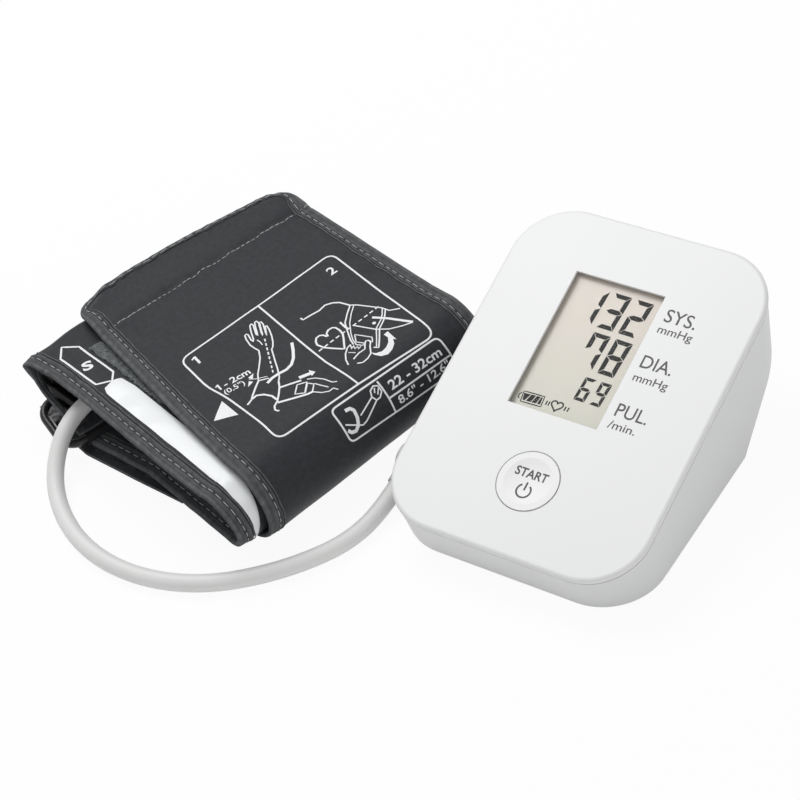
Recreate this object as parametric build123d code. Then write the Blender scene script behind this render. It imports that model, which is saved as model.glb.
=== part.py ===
"""Upper-arm blood pressure monitor: a wedge-shaped desk unit, a rolled D-ring cuff beside it, and
the air hose that joins them. Millimetres, +Z up, +X to the user's right, the user sits at -Y.
The origin is on the resting plane, under the middle of the desk unit and the cuff together.
"""

import os
from math import atan2, cos, degrees, pi, radians, sin, tan

from build123d import *

# ---------------------------------------------------------------- desk unit, overall
CASE_WIDTH = 108.0
CASE_DEPTH = 138.0
FACE_OVER_CELLS = 6.3  # the face's front edge stands this much higher than a cell is thick
FACE_TILT = 16.6  # degrees, the face rises towards the back
FACE_CORNER = 24.0
FRONT_RAKE = 4.7  # the front wall's foot stands this far behind the face's front edge
FOOT_HEIGHT = 1.0
WALL = 2.0
REAR_FOOT_Y = 25.0  # the flat bottom ends here and the rear slopes up
REAR_BREAK_Z = 42.0  # the slope meets the upright back wall here
RIM_DEPTH = 3.2  # depth of the top cover's rim below the face
EDGE_ROUND = 1.5
CASE_INSET = 0.35  # the bottom case stands this far inside the rim
JOINT_GAP = 0.1
TONGUE = 0.9
TONGUE_DEPTH = 2.0

# ---------------------------------------------------------------- display
WINDOW_WIDTH = 38.3
WINDOW_LENGTH = 59.7
WINDOW_X = -4.2  # window centre
WINDOW_S = 87.8  # window centre, along the face from its front edge
LENS_DEPTH = 1.2  # the lens lies this far below the face
LENS_THICKNESS = 1.2
LENS_MARGIN = 2.0
LCD_THICKNESS = 2.4
LCD_MARGIN = 3.2
LCD_GAP = 0.3
HOLDER_WALL = 2.2

# ---------------------------------------------------------------- start button and switch
BUTTON_RADIUS = 12.0
BUTTON_CLEARANCE = 0.1
BUTTON_S = 30.2
BUTTON_PROUD = 0.4
BUTTON_TRAVEL = 0.8
FLANGE_MARGIN = 1.4
FLANGE_THICKNESS = 1.0
FLANGE_GAP = 0.05
STEM_RADIUS = 2.5
SWITCH_SIZE = 6.0
SWITCH_HEIGHT = 3.3
PLUNGER_RADIUS = 1.7
PLUNGER_CLEARANCE = 0.05
PLUNGER_HEIGHT = 1.0
PLUNGER_LENGTH = 2.3

# ---------------------------------------------------------------- circuit board
BOARD_DEPTH = 9.0  # top side below the face
BOARD_THICKNESS = 1.6
BOARD_X = (-29.2, 38.0)
BOARD_FRONT = 14.0  # along the face
BOARD_PAST_WINDOW = 8.35
POST_RADIUS = 2.6
POST_MARGIN = 5.0
BOARD_SCREW_RADIUS = 1.0

# ---------------------------------------------------------------- batteries
CELL_RADIUS = 7.1
CELL_LENGTH = 49.2
CELL_SPACING = 0.6
CELL_COUNT = 4
BAY_X = 12.0  # middle of the battery bay
BAY_FRONT = -31.0
CELL_END_ROOM = 5.3
CELL_GAP = 0.5
BAY_WALL = 1.2
COVER_THICKNESS = 2.0
COVER_GAP = 0.3
PEG_RADIUS = 0.8
PEG_CLEARANCE = 0.06
PEG_LENGTH = 1.6
CONTACT_THICKNESS = 0.4
SPRING_WIRE = 0.4
SPRING_RADIUS = 3.2

# ---------------------------------------------------------------- pump, valve and air path
PUMP_INSET = 13.6  # from the case's left side to the pump's middle
PUMP_Z = 14.2
PUMP_CAP_Y = (-24.0, -20.0)
PUMP_HEAD_Y = (-20.0, -2.0)
MOTOR_Y = (-2.0, 20.0)
MOTOR_RADIUS = 10.0
MOTOR_WALL = 0.8
ARMATURE_RADIUS = 7.6
SHAFT_RADIUS = 1.0
SHAFT_CLEARANCE = 0.05
CRANK_RADIUS = 4.0
CRANK_OFFSET = 1.2
CRANK_LENGTH = 4.0
SOCKET_Y = -34.0  # the air path's line from the socket to the sensor
SOCKET_Z = 9.5
SOCKET_RADIUS = 5.5
SOCKET_BORE = 3.1
SOCKET_DEPTH = 7.5
SOCKET_LIP = 0.6
MANIFOLD_INSET = (11.0, 22.5)
MANIFOLD_HALF = 3.5
MANIFOLD_FOOT = 1.5
NIPPLE_RADIUS = 1.5
NIPPLE_LENGTH = 2.4
TUBE_RADIUS = 2.6
TUBE_CLEARANCE = 0.05
VALVE_INSET = 19.6
VALVE_Y = (-58.0, -43.0)
VALVE_RADIUS = 5.4
VALVE_PLUNGER_RADIUS = 2.4
VALVE_TRAVEL = 0.8
VALVE_PLUNGER_LENGTH = 8.0
SENSOR_X = -24.0
SENSOR_SIZE = 8.0
SENSOR_HEIGHT = 5.6
JACK_Y = 8.0
JACK_Z = 29.8
JACK_WIDTH = 9.0
JACK_LENGTH = 12.0
JACK_BORE = 2.3
JACK_PIN = 0.6

# ---------------------------------------------------------------- fasteners and feet
BOSS_INSET = 10.0  # from the case's side to the boss
BOSS_Y = (-50.0, 40.0)
BOSS_RADIUS = 3.6
CASE_SCREW_RADIUS = 1.4
SCREW_HEAD_RADIUS = 2.5
SCREW_HEAD = 1.8
SCREW_BITE = 6.0
FOOT_RADIUS = 3.7
FOOT_RECESS = 0.5
FOOT_INSET = (10.0, 5.8)  # front pair, rear pair
FOOT_Y = (-38.0, 17.0)

# ---------------------------------------------------------------- cuff
CUFF_TURN = 24.0  # degrees clockwise, seen from above
CUFF_WIDTH = 130.5  # across the flattened roll, at its front
CUFF_HEIGHT = 38.0
FOLD_TURN = 8.5  # degrees, the right fold leans to the left going back
FLAP_LAYER = 2.4
INNER_LAYER = 3.0
LAYER_GAP = 0.8
FLAP_REACH = 12.0  # the free end hangs this far past the roll's left fold
FLAP_CORNER = 12.0
FLAP_FRONT_FREE = -7.0
FLAP_FRONT_ROOT = -4.3
FLAP_BACK_FREE = 95.0
FLAP_BACK_ROOT = 111.5
BODY_FRONT_LEFT = -39.0
BODY_FRONT_RIGHT = -14.7
BODY_BACK_LEFT = 98.5
BODY_BACK_RIGHT = 115.0
BODY_SHIFT = 4.4  # the inner turn's front edge moves back this far round the right fold
LOWER_FRONT_LEFT = -32.8  # its front edge along the bottom, at the sleeve
LOWER_FRONT_BEND = -17.4
LOWER_BEND_X = 80.0
CREASE_X = 2.0  # the crease at the roll's top left
CREASE_RADIUS = 0.7  # inside the crease
WALL_FOOT_X = -0.5  # the left side's foot, from the D-ring's outer bar
WALL_FOOT_ROOM = 2.0
WRAP_LEFT = 15.0
HINGE_SETBACK = 20.0  # the flap's hinge line stands this far short of the right fold
HINGE_GAP = 0.3
HOOK_THICKNESS = 0.9
HOOK_X = (2.0, 30.0)
HOOK_Y = (4.0, 84.0)
LOOP_THICKNESS = 0.7
LOOP_LEFT = 12.0
LOOP_SETBACK = 37.0
LOOP_Y = (-10.0, 88.0)
HOOK_GAP = 0.3
BINDING_WIDTH = 8.0
BINDING_PROUD = 0.25
BLADDER_THICKNESS = 1.6
BLADDER_GAP = 0.1
BLADDER_LEFT = 34.0
BLADDER_SETBACK = 38.0
BLADDER_Y = (2.0, 88.0)
CUFF_WALL_GAP = 2.5  # the roll stops this far short of the desk unit's side

# ---------------------------------------------------------------- D-ring
RING_WIRE = 1.75
RING_DEPTH = 24.0  # between the centrelines of its long bars
RING_CORNER = 7.0
RING_Y = (-39.8, 100.0)
RING_TILT = 15.2
RING_X = 28.6
SLEEVE_WALL = 1.25
SLEEVE_CLEARANCE = 0.08
SLEEVE_Y = (-31.0, 88.0)
SLEEVE_GAP = 0.2

# ---------------------------------------------------------------- air hose
HOSE_DIAMETER = 7.0
PORT_FLANGE = 5.3
PORT_FLANGE_THICKNESS = 1.0
PORT_COLLAR = 4.2
PORT_REACH = 11.0
PLUG_REACH = 12.0
PLUG_HUB = 5.8
PLUG_HUB_LENGTH = 9.0
PLUG_NOSE = 3.0
HOSE_ROUTE = [
    (-103.2, -30.64, 19.4),
    (-109.6, -46.44, 19.3),
    (-113.0, -63.74, 15.5),
    (-109.0, -79.24, 7.5),
    (-98.0, -91.94, 3.5),
    (-79.8, -102.94, 3.5),
    (-59.4, -108.14, 3.5),
    (-38.2, -107.14, 3.5),
    (-18.0, -100.04, 3.5),
    (-1.2, -87.64, 3.5),
    (12.0, -73.14, 3.5),
    (20.4, -58.94, 3.5),
    (23.9, -42.74, 4.3),
    (24.3, -30.04, 7.0),
]

# ---------------------------------------------------------------- where each half stands
DESK_LEFT = 28.8  # the desk unit's left side
DESK_Y = 15.66
CUFF_X = -122.0
CUFF_Y = -19.04

FAR = 400.0
DESK_X = DESK_LEFT + CASE_WIDTH / 2
FRONT_HEIGHT = 2 * CELL_RADIUS + FACE_OVER_CELLS
DESK = Location((DESK_X, DESK_Y, 0))
CUFF = Location((CUFF_X, CUFF_Y, 0), (0, 0, -CUFF_TURN))
FACE = Location((0, -CASE_DEPTH / 2, FRONT_HEIGHT), (FACE_TILT, 0, 0))
FACE_LENGTH = CASE_DEPTH / cos(radians(FACE_TILT))
BASE_Z = FOOT_HEIGHT
SOCKET = (-CASE_WIDTH / 2, SOCKET_Y, SOCKET_Z)
PUMP_X = -CASE_WIDTH / 2 + PUMP_INSET
VALVE_X = -CASE_WIDTH / 2 + VALVE_INSET
MANIFOLD_X = [-CASE_WIDTH / 2 + inset for inset in MANIFOLD_INSET]
MANIFOLD_Y = (SOCKET_Y - MANIFOLD_HALF, SOCKET_Y + MANIFOLD_HALF)
BOSSES = [(side * (CASE_WIDTH / 2 - BOSS_INSET), y) for y in BOSS_Y for side in (-1, 1)]
FEET = [(side * (CASE_WIDTH / 2 - inset), y) for inset, y in zip(FOOT_INSET, FOOT_Y)
        for side in (-1, 1)]
FLANGE_RADIUS = BUTTON_RADIUS + FLANGE_MARGIN
CELL_PITCH = 2 * CELL_RADIUS + CELL_SPACING
BAY_Y = (BAY_FRONT, BAY_FRONT + CELL_LENGTH + CELL_END_ROOM)
BOARD_S = (BOARD_FRONT, WINDOW_S + WINDOW_LENGTH / 2 + BOARD_PAST_WINDOW)
HOLDER_S = WINDOW_S - WINDOW_LENGTH / 2 - LCD_MARGIN - HOLDER_WALL
POSTS = [
    (BOARD_X[0] + POST_MARGIN + 2.2, BOARD_S[0] + POST_MARGIN),
    (BOARD_X[1] - POST_MARGIN + 1.0, BOARD_S[0] + POST_MARGIN),
    (BOARD_X[0] + POST_MARGIN + 2.2, HOLDER_S - POST_RADIUS - 3.0),
    (BOARD_X[1] - POST_MARGIN + 1.0, BOARD_S[1] - POST_MARGIN),
]
SENSOR_DROP = BOARD_DEPTH + BOARD_THICKNESS + SENSOR_HEIGHT / 2
SENSOR_S = ((SOCKET_Y + CASE_DEPTH / 2 - SENSOR_DROP * sin(radians(FACE_TILT)))
            / cos(radians(FACE_TILT)))
HINGE_X = CUFF_WIDTH - HINGE_SETBACK
LOOP_X = (LOOP_LEFT, CUFF_WIDTH - LOOP_SETBACK)
BLADDER_X = (BLADDER_LEFT, CUFF_WIDTH - BLADDER_SETBACK)
FOLD_RADIUS = CUFF_HEIGHT / 2
FOLD_X = CUFF_WIDTH - FOLD_RADIUS
FLAP_Z = CUFF_HEIGHT - FLAP_LAYER
LOOP_Z = FLAP_Z - HOOK_THICKNESS - HOOK_GAP - LOOP_THICKNESS
INNER_FOLD = (LOOP_Z - FLAP_LAYER - LAYER_GAP) / 2  # outer radius of the inner right fold
RING_Z = FLAP_LAYER + SLEEVE_GAP + SLEEVE_WALL + SLEEVE_CLEARANCE + RING_WIRE
SLEEVE_RADIUS = RING_WIRE + SLEEVE_CLEARANCE + SLEEVE_WALL
LOWER_LEFT = RING_X + SLEEVE_RADIUS + 0.1  # where the inner turn starts, at the sleeve

nodes = {}


def put(name, shape, place=DESK):
    """Keeps a finished piece under its node name, moved to where it stands."""
    nodes[name] = place * shape


def block(x, y, z):
    """A box from three (low, high) pairs."""
    size = [b - a for a, b in (x, y, z)]
    middle = [(a + b) / 2 for a, b in (x, y, z)]
    return Pos(*middle) * Box(*size)


def rod(start, end, radius):
    """A cylinder from one point to another."""
    a, b = Vector(*start), Vector(*end)
    plane = Plane(origin=a, z_dir=b - a)
    return plane * Cylinder(radius, (b - a).length, align=(Align.CENTER, Align.CENTER, Align.MIN))


def face_rod(x, s, low, high, radius):
    """A cylinder square to the face, between two heights above it."""
    return FACE * rod((x, s, low), (x, s, high), radius)


def face_block(x, s, d):
    """A box square to the face. d is a (low, high) pair of heights above it."""
    return FACE * block(x, s, d)


def face_point(x, s, d):
    """Where a point of the face's own frame lies in the desk unit's frame."""
    return (FACE * Location((x, s, d))).position


def below_face(depth):
    """Everything deeper than this below the face."""
    return FACE * block((-FAR, FAR), (-FAR, FAR), (-FAR, -depth))


# ---------------------------------------------------------------- the case's outline


def wedge(inset, floor):
    """The case's outside, shrunk by inset, from the height floor up to the face."""
    width = CASE_WIDTH - 2 * inset
    corner = FACE_CORNER - inset
    foot_length = CASE_DEPTH - FRONT_RAKE - 2 * inset
    foot = Pos(0, FRONT_RAKE / 2, BASE_Z) * RectangleRounded(width, foot_length, corner)
    lid = FACE * Pos(0, FACE_LENGTH / 2) * RectangleRounded(width, FACE_LENGTH - 2 * inset, corner)
    slope = degrees(atan2(REAR_BREAK_Z - BASE_Z, CASE_DEPTH / 2 - REAR_FOOT_Y))
    rear = Location((0, REAR_FOOT_Y, BASE_Z), (slope, 0, 0))
    cut = rear * block((-FAR, FAR), (-FAR, FAR), (-FAR, inset))
    cut += block((-FAR, FAR), (-FAR, FAR), (-FAR, floor))
    return loft([foot, lid]) - cut


def boss_height(x, y):
    """Height of the parting plane over a point."""
    return FRONT_HEIGHT + (y + CASE_DEPTH / 2) * tan(radians(FACE_TILT)) - RIM_DEPTH


def window(margin, low, high):
    """A slab the size of the display window plus a margin."""
    half_x = WINDOW_WIDTH / 2 + margin
    half_s = WINDOW_LENGTH / 2 + margin
    return face_block((WINDOW_X - half_x, WINDOW_X + half_x), (WINDOW_S - half_s, WINDOW_S + half_s),
                      (low, high))


LENS_LOW = -LENS_DEPTH - LENS_THICKNESS
LCD_LOW = LENS_LOW - LCD_GAP - LCD_THICKNESS
BOARD_LOW = -BOARD_DEPTH - BOARD_THICKNESS
BAY_HALF = CELL_COUNT * CELL_PITCH / 2 + CELL_GAP
BAY_TOP = BASE_Z + COVER_THICKNESS + 2 * CELL_RADIUS + 2 * CELL_GAP
HINGE_Y = BAY_Y[0] + COVER_THICKNESS / 2 + COVER_GAP
HINGE_Z = BASE_Z + COVER_THICKNESS / 2


def make_top_cover():
    """The face plate with its rim, tongue, window, button hole, guide ring and board posts."""
    shell = wedge(0, BASE_Z) - below_face(RIM_DEPTH)
    lid = shell.faces().sort_by(Axis.Z)[-1]
    shell = fillet(lid.outer_wire().edges(), min(EDGE_ROUND, 0.8 * WALL))
    shell -= wedge(WALL, BASE_Z) & below_face(WALL)
    fit = CASE_INSET + WALL + JOINT_GAP
    tongue = (wedge(fit, BASE_Z) - wedge(fit + TONGUE, BASE_Z)) & below_face(WALL)
    shell += tongue - below_face(RIM_DEPTH + TONGUE_DEPTH)
    shell -= window(0, -LENS_DEPTH, FAR)
    shell -= window(-1.5, -FAR, FAR)
    shell -= window(LENS_MARGIN, -FAR, -LENS_DEPTH)
    hole = BUTTON_RADIUS + BUTTON_CLEARANCE
    shell -= face_rod(0, BUTTON_S, -WALL - 1, 1, hole)
    guide = FLANGE_RADIUS + 2 * BUTTON_CLEARANCE
    ring = face_rod(0, BUTTON_S, -WALL - 2.5, -WALL, guide + 1.2)
    shell += ring - face_rod(0, BUTTON_S, -FAR, 1, guide)
    for x, s in POSTS:
        shell += face_rod(x, s, -BOARD_DEPTH, -WALL, POST_RADIUS)
        shell -= face_rod(x, s, -BOARD_DEPTH - 1, -BOARD_DEPTH + 4.5, BOARD_SCREW_RADIUS)
    for x, y in BOSSES:
        top = boss_height(x, y)
        stud = rod((x, y, top - SCREW_BITE), (x, y, top + RIM_DEPTH), BOSS_RADIUS)
        shell += stud & wedge(fit, BASE_Z)
        shell -= rod((x, y, top - SCREW_BITE - 1), (x, y, top - 1), CASE_SCREW_RADIUS)
    return shell


def bay_box(grow):
    """The battery bay's inside, grown by a wall."""
    x = (BAY_X - BAY_HALF - grow, BAY_X + BAY_HALF + grow)
    y = (BAY_Y[0] - grow, BAY_Y[1] + grow)
    return block(x, y, (BASE_Z - 1, BAY_TOP + grow))


def screw_shaft(x, y):
    """Where a case screw's head seats: the bottom case's boss is open below this height."""
    return boss_height(x, y) - SCREW_BITE - JOINT_GAP - 3.0


def make_bottom_case():
    """The walls and floor, with the battery bay, screw bosses, feet recesses and side openings."""
    inner = CASE_INSET + WALL
    shell = (wedge(CASE_INSET, BASE_Z) - wedge(inner, BASE_Z + WALL)) & below_face(
        RIM_DEPTH + JOINT_GAP)
    shell += bay_box(BAY_WALL) & wedge(CASE_INSET, BASE_Z)
    shell -= bay_box(0)
    for side in (-1, 1):
        x = BAY_X + side * BAY_HALF
        peg = rod((x - side, HINGE_Y, HINGE_Z), (x + side * (PEG_LENGTH + 0.2), HINGE_Y, HINGE_Z),
                  PEG_RADIUS + PEG_CLEARANCE)
        ear = block(sorted((x, x + side * 2.6)), (HINGE_Y - 3, HINGE_Y + 3), (BASE_Z, HINGE_Z + 2))
        shell += ear
        shell -= peg
    for x, y in BOSSES:
        top = boss_height(x, y) - SCREW_BITE - JOINT_GAP
        shell += rod((x, y, BASE_Z), (x, y, top), BOSS_RADIUS) & wedge(CASE_INSET, BASE_Z)
        shell -= rod((x, y, BASE_Z - 1), (x, y, screw_shaft(x, y)), SCREW_HEAD_RADIUS + 0.2)
        shell -= rod((x, y, BASE_Z), (x, y, top + 1), CASE_SCREW_RADIUS + 0.1)
    for x, y in FEET:
        shell -= rod((x, y, BASE_Z - 1), (x, y, BASE_Z + FOOT_RECESS), FOOT_RADIUS)
    shell -= rod((-FAR, SOCKET_Y, SOCKET_Z), (0, SOCKET_Y, SOCKET_Z), SOCKET_RADIUS) \
        & block((-FAR, SOCKET[0] + 5), (-FAR, FAR), (-FAR, FAR))
    half = JACK_WIDTH / 2
    shell -= block((-CASE_WIDTH, -CASE_WIDTH / 2 + 5), (JACK_Y - half, JACK_Y + half),
                   (JACK_Z - half, JACK_Z + half))
    return shell


# ---------------------------------------------------------------- the pieces in the desk unit


def make_display():
    put("lcd_lens", window(LENS_MARGIN - JOINT_GAP, LENS_LOW, -LENS_DEPTH))
    put("lcd_panel", window(LCD_MARGIN, LCD_LOW, LCD_LOW + LCD_THICKNESS))
    holder = window(LCD_MARGIN + HOLDER_WALL, -BOARD_DEPTH, -WALL)
    holder -= window(LCD_MARGIN + JOINT_GAP, LCD_LOW - 0.01, FAR)
    holder -= window(LCD_MARGIN - HOLDER_WALL, -FAR, FAR)
    low_s = WINDOW_S - WINDOW_LENGTH / 2 + 1.5
    strip_x = (WINDOW_X - WINDOW_WIDTH / 2, WINDOW_X + WINDOW_WIDTH / 2)
    put("lcd_holder", holder)
    put("lcd_connector", face_block(strip_x, (low_s, low_s + 2.4), (-BOARD_DEPTH, LCD_LOW)))


def nipple_length(gap):
    """How far a nipple reaches into a tube that bridges a gap."""
    return min(NIPPLE_LENGTH, gap / 2 - 0.2)


def make_board():
    board = face_block(BOARD_X, BOARD_S, (BOARD_LOW, -BOARD_DEPTH))
    screws = []
    for x, s in POSTS:
        board -= face_rod(x, s, BOARD_LOW - 1, 0, BOARD_SCREW_RADIUS + 0.2)
        head = face_rod(x, s, BOARD_LOW - 1.4, BOARD_LOW, 2 * BOARD_SCREW_RADIUS)
        screws.append(head + face_rod(x, s, BOARD_LOW, -BOARD_DEPTH + 4, BOARD_SCREW_RADIUS))
    put("main_board", board)
    put("board_screws", Compound(screws))
    chip = face_block((20, 32), (35, 47), (-BOARD_DEPTH, -BOARD_DEPTH + 1.4))
    put("controller_chip", chip)
    radio = face_block((26, 40), (100, 114), (-BOARD_DEPTH, -BOARD_DEPTH + 2.0))
    put("radio_module", radio)
    half = SENSOR_SIZE / 2
    sensor = face_block((SENSOR_X - half, SENSOR_X + half), (SENSOR_S - half, SENSOR_S + half),
                        (BOARD_LOW - SENSOR_HEIGHT, BOARD_LOW))
    middle = BOARD_LOW - SENSOR_HEIGHT / 2
    reach = nipple_length(SENSOR_X - half - MANIFOLD_X[1])
    nipple = FACE * rod((SENSOR_X - half - reach, SENSOR_S, middle),
                        (SENSOR_X, SENSOR_S, middle), NIPPLE_RADIUS)
    put("pressure_sensor", sensor + nipple)


def make_button():
    flange_top = -WALL - FLANGE_GAP
    switch_top = -BOARD_DEPTH + SWITCH_HEIGHT
    plunger_top = switch_top + PLUNGER_HEIGHT
    cap = face_rod(0, BUTTON_S, flange_top, BUTTON_PROUD, BUTTON_RADIUS)
    dish = Sphere(90.0)
    cap -= FACE * Pos(0, BUTTON_S, BUTTON_PROUD + 90.0 - 0.5) * dish
    cap += face_rod(0, BUTTON_S, flange_top - FLANGE_THICKNESS, flange_top, FLANGE_RADIUS)
    cap += face_rod(0, BUTTON_S, plunger_top, flange_top, STEM_RADIUS)
    put("start_button", cap)
    half = SWITCH_SIZE / 2
    body = face_block((-half, half), (BUTTON_S - half, BUTTON_S + half), (-BOARD_DEPTH, switch_top))
    body -= face_rod(0, BUTTON_S, plunger_top - PLUNGER_LENGTH - BUTTON_TRAVEL - 0.2, 0,
                     PLUNGER_RADIUS + PLUNGER_CLEARANCE)
    put("switch_body", body)
    put("switch_plunger", face_rod(0, BUTTON_S, plunger_top - PLUNGER_LENGTH, plunger_top,
                                   PLUNGER_RADIUS))


def make_batteries():
    cell_z = BAY_TOP - CELL_GAP - CELL_RADIUS
    spring_room = BAY_Y[1] - BAY_Y[0] - CELL_LENGTH - 1.6
    contacts = []
    for i in range(CELL_COUNT):
        x = BAY_X + (i - (CELL_COUNT - 1) / 2) * CELL_PITCH
        turned = i % 2 == 1
        plus_y, minus_y = (BAY_Y[1], BAY_Y[0]) if not turned else (BAY_Y[0], BAY_Y[1])
        way = 1 if plus_y > minus_y else -1
        tip = plus_y - way * CONTACT_THICKNESS
        shoulder = tip - way * 1.2
        base = shoulder - way * CELL_LENGTH
        cell = rod((x, base, cell_z), (x, shoulder, cell_z), CELL_RADIUS)
        cell += rod((x, shoulder, cell_z), (x, tip, cell_z), 2.7)
        put(f"battery_{i + 1}", cell)
        half = CELL_RADIUS - 1
        for y, inward in ((plus_y, -way), (minus_y, way)):
            ys = sorted((y, y + inward * CONTACT_THICKNESS))
            contacts.append(block((x - half, x + half), ys, (cell_z - half, cell_z + half)))
        seat = minus_y + way * CONTACT_THICKNESS
        spring = rod((x, seat, cell_z), (x, base, cell_z), SPRING_RADIUS)
        spring -= rod((x, seat - 1, cell_z), (x, base + 1, cell_z), SPRING_RADIUS - 2 * SPRING_WIRE)
        spring -= rod((x, base - 1, cell_z), (x, seat + 1, cell_z), SPRING_RADIUS - 2 * SPRING_WIRE)
        contacts.append(spring)
    put("battery_contacts", Compound(contacts))


def make_battery_cover():
    half = BAY_HALF - COVER_GAP
    radius = COVER_THICKNESS / 2
    lid = block((BAY_X - half, BAY_X + half), (HINGE_Y, BAY_Y[1] - COVER_GAP),
                (BASE_Z, BASE_Z + COVER_THICKNESS))
    lid += rod((BAY_X - half, HINGE_Y, HINGE_Z), (BAY_X + half, HINGE_Y, HINGE_Z), radius)
    for side in (-1, 1):
        x = BAY_X + side * half
        lid += rod((x, HINGE_Y, HINGE_Z), (x + side * (COVER_GAP + PEG_LENGTH), HINGE_Y, HINGE_Z),
                   PEG_RADIUS)
    thumb_y = BAY_Y[1] - 6.0
    for i in range(3):
        lid -= block((BAY_X - 8, BAY_X + 8), (thumb_y - i * 2.4, thumb_y - i * 2.4 + 1.0),
                     (BASE_Z - 1, BASE_Z + 0.6))
    return lid


def make_pump():
    def along(y0, y1, radius, dx=0.0):
        return rod((PUMP_X + dx, y0, PUMP_Z), (PUMP_X + dx, y1, PUMP_Z), radius)

    bearing = SHAFT_RADIUS + SHAFT_CLEARANCE
    can = along(*MOTOR_Y, MOTOR_RADIUS)
    can -= along(MOTOR_Y[0] - 1, MOTOR_Y[1] - 1.5, MOTOR_RADIUS - MOTOR_WALL)
    can -= along(MOTOR_Y[0], MOTOR_Y[1] + 1, bearing)
    put("motor_can", can)
    rotor = along(MOTOR_Y[0] + 3, MOTOR_Y[1] - 3, ARMATURE_RADIUS)
    rotor += along(PUMP_HEAD_Y[0] + 8, MOTOR_Y[1] - 0.5, SHAFT_RADIUS)
    put("motor_rotor", rotor)
    crank_low = PUMP_HEAD_Y[0] + 8
    crank = along(crank_low, crank_low + CRANK_LENGTH, CRANK_RADIUS, CRANK_OFFSET)
    crank -= along(crank_low - 1, crank_low + CRANK_LENGTH + 1, SHAFT_RADIUS)
    put("pump_crank", crank)
    half = MOTOR_RADIUS + 0.5
    head = block((PUMP_X - half, PUMP_X + half), PUMP_HEAD_Y, (PUMP_Z - half, PUMP_Z + half))
    head -= along(PUMP_HEAD_Y[0] + 2, crank_low + CRANK_LENGTH + 1.5, CRANK_RADIUS + CRANK_OFFSET + 1)
    head -= along(crank_low, PUMP_HEAD_Y[1] + 1, bearing)
    put("pump_head", head)
    cap = block((PUMP_X - half, PUMP_X + half), PUMP_CAP_Y, (PUMP_Z - half, PUMP_Z + half))
    cap += along(PUMP_CAP_Y[0] - NIPPLE_LENGTH, PUMP_CAP_Y[0], NIPPLE_RADIUS)
    put("pump_valve_plate", cap)
    cradle_x = (PUMP_X - half, PUMP_X + half)
    cradle = block(cradle_x, (PUMP_CAP_Y[0], MOTOR_Y[1]), (BASE_Z + WALL, PUMP_Z))
    cradle -= along(MOTOR_Y[0] - 1, MOTOR_Y[1] + 1, MOTOR_RADIUS)
    cradle -= block((-FAR, FAR), (PUMP_CAP_Y[0] - 1, MOTOR_Y[0]), (PUMP_Z - half, FAR))
    put("pump_cushion", cradle & wedge(CASE_INSET + WALL, BASE_Z + WALL))


def make_air_path():
    middle_x = sum(MANIFOLD_X) / 2
    valve_x = VALVE_X
    valve_z = SOCKET_Z
    body = rod((valve_x, VALVE_Y[0], valve_z), (valve_x, VALVE_Y[1], valve_z), VALVE_RADIUS)
    body -= rod((valve_x, VALVE_Y[0] - 1, valve_z), (valve_x, VALVE_Y[1] - 3, valve_z),
                VALVE_PLUNGER_RADIUS + SHAFT_CLEARANCE)
    body += rod((valve_x, VALVE_Y[1], valve_z), (valve_x, VALVE_Y[1] + NIPPLE_LENGTH, valve_z),
                NIPPLE_RADIUS)
    saddle = block((valve_x - 4, valve_x + 4), (VALVE_Y[0] + 3, VALVE_Y[1] - 2),
                   (BASE_Z + WALL, valve_z))
    body += saddle - rod((valve_x, -FAR, valve_z), (valve_x, FAR, valve_z), VALVE_RADIUS - 0.5)
    put("valve_body", body)
    plunger_end = VALVE_Y[1] - 3 - VALVE_TRAVEL - 0.2
    put("valve_plunger", rod((valve_x, plunger_end - VALVE_PLUNGER_LENGTH, valve_z),
                             (valve_x, plunger_end, valve_z), VALVE_PLUNGER_RADIUS))
    half = SENSOR_SIZE / 2
    sensor_end = face_point(SENSOR_X - half, SENSOR_S, BOARD_LOW - SENSOR_HEIGHT / 2)
    low_z = BASE_Z + WALL + MANIFOLD_FOOT
    block_ = block(MANIFOLD_X, MANIFOLD_Y, (low_z, sensor_end.Z + 2 * NIPPLE_RADIUS))
    block_ += block((middle_x - 2, middle_x + 2), (MANIFOLD_Y[0] + 2, MANIFOLD_Y[1] - 2),
                    (BASE_Z + WALL, low_z))
    ports = [
        ((PUMP_X, MANIFOLD_Y[1], PUMP_Z), (0, 1, 0), PUMP_CAP_Y[0] - MANIFOLD_Y[1]),
        ((valve_x, MANIFOLD_Y[0], valve_z), (0, -1, 0), MANIFOLD_Y[0] - VALVE_Y[1]),
        ((MANIFOLD_X[0], SOCKET_Y, SOCKET_Z), (-1, 0, 0),
         MANIFOLD_X[0] - SOCKET[0] - SOCKET_DEPTH - 1.2),
        ((MANIFOLD_X[1], sensor_end.Y, sensor_end.Z), (1, 0, 0), sensor_end.X - MANIFOLD_X[1]),
    ]
    tubes = []
    for start, way, gap in ports:
        a, d = Vector(*start), Vector(*way)
        block_ += rod(a, a + d * nipple_length(gap), NIPPLE_RADIUS)
        sleeve = rod(a, a + d * gap, TUBE_RADIUS)
        tubes.append(sleeve - rod(a - d, a + d * (gap + 1), NIPPLE_RADIUS + TUBE_CLEARANCE))
    put("air_manifold", block_)
    put("air_tubes", Compound(tubes))


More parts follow.
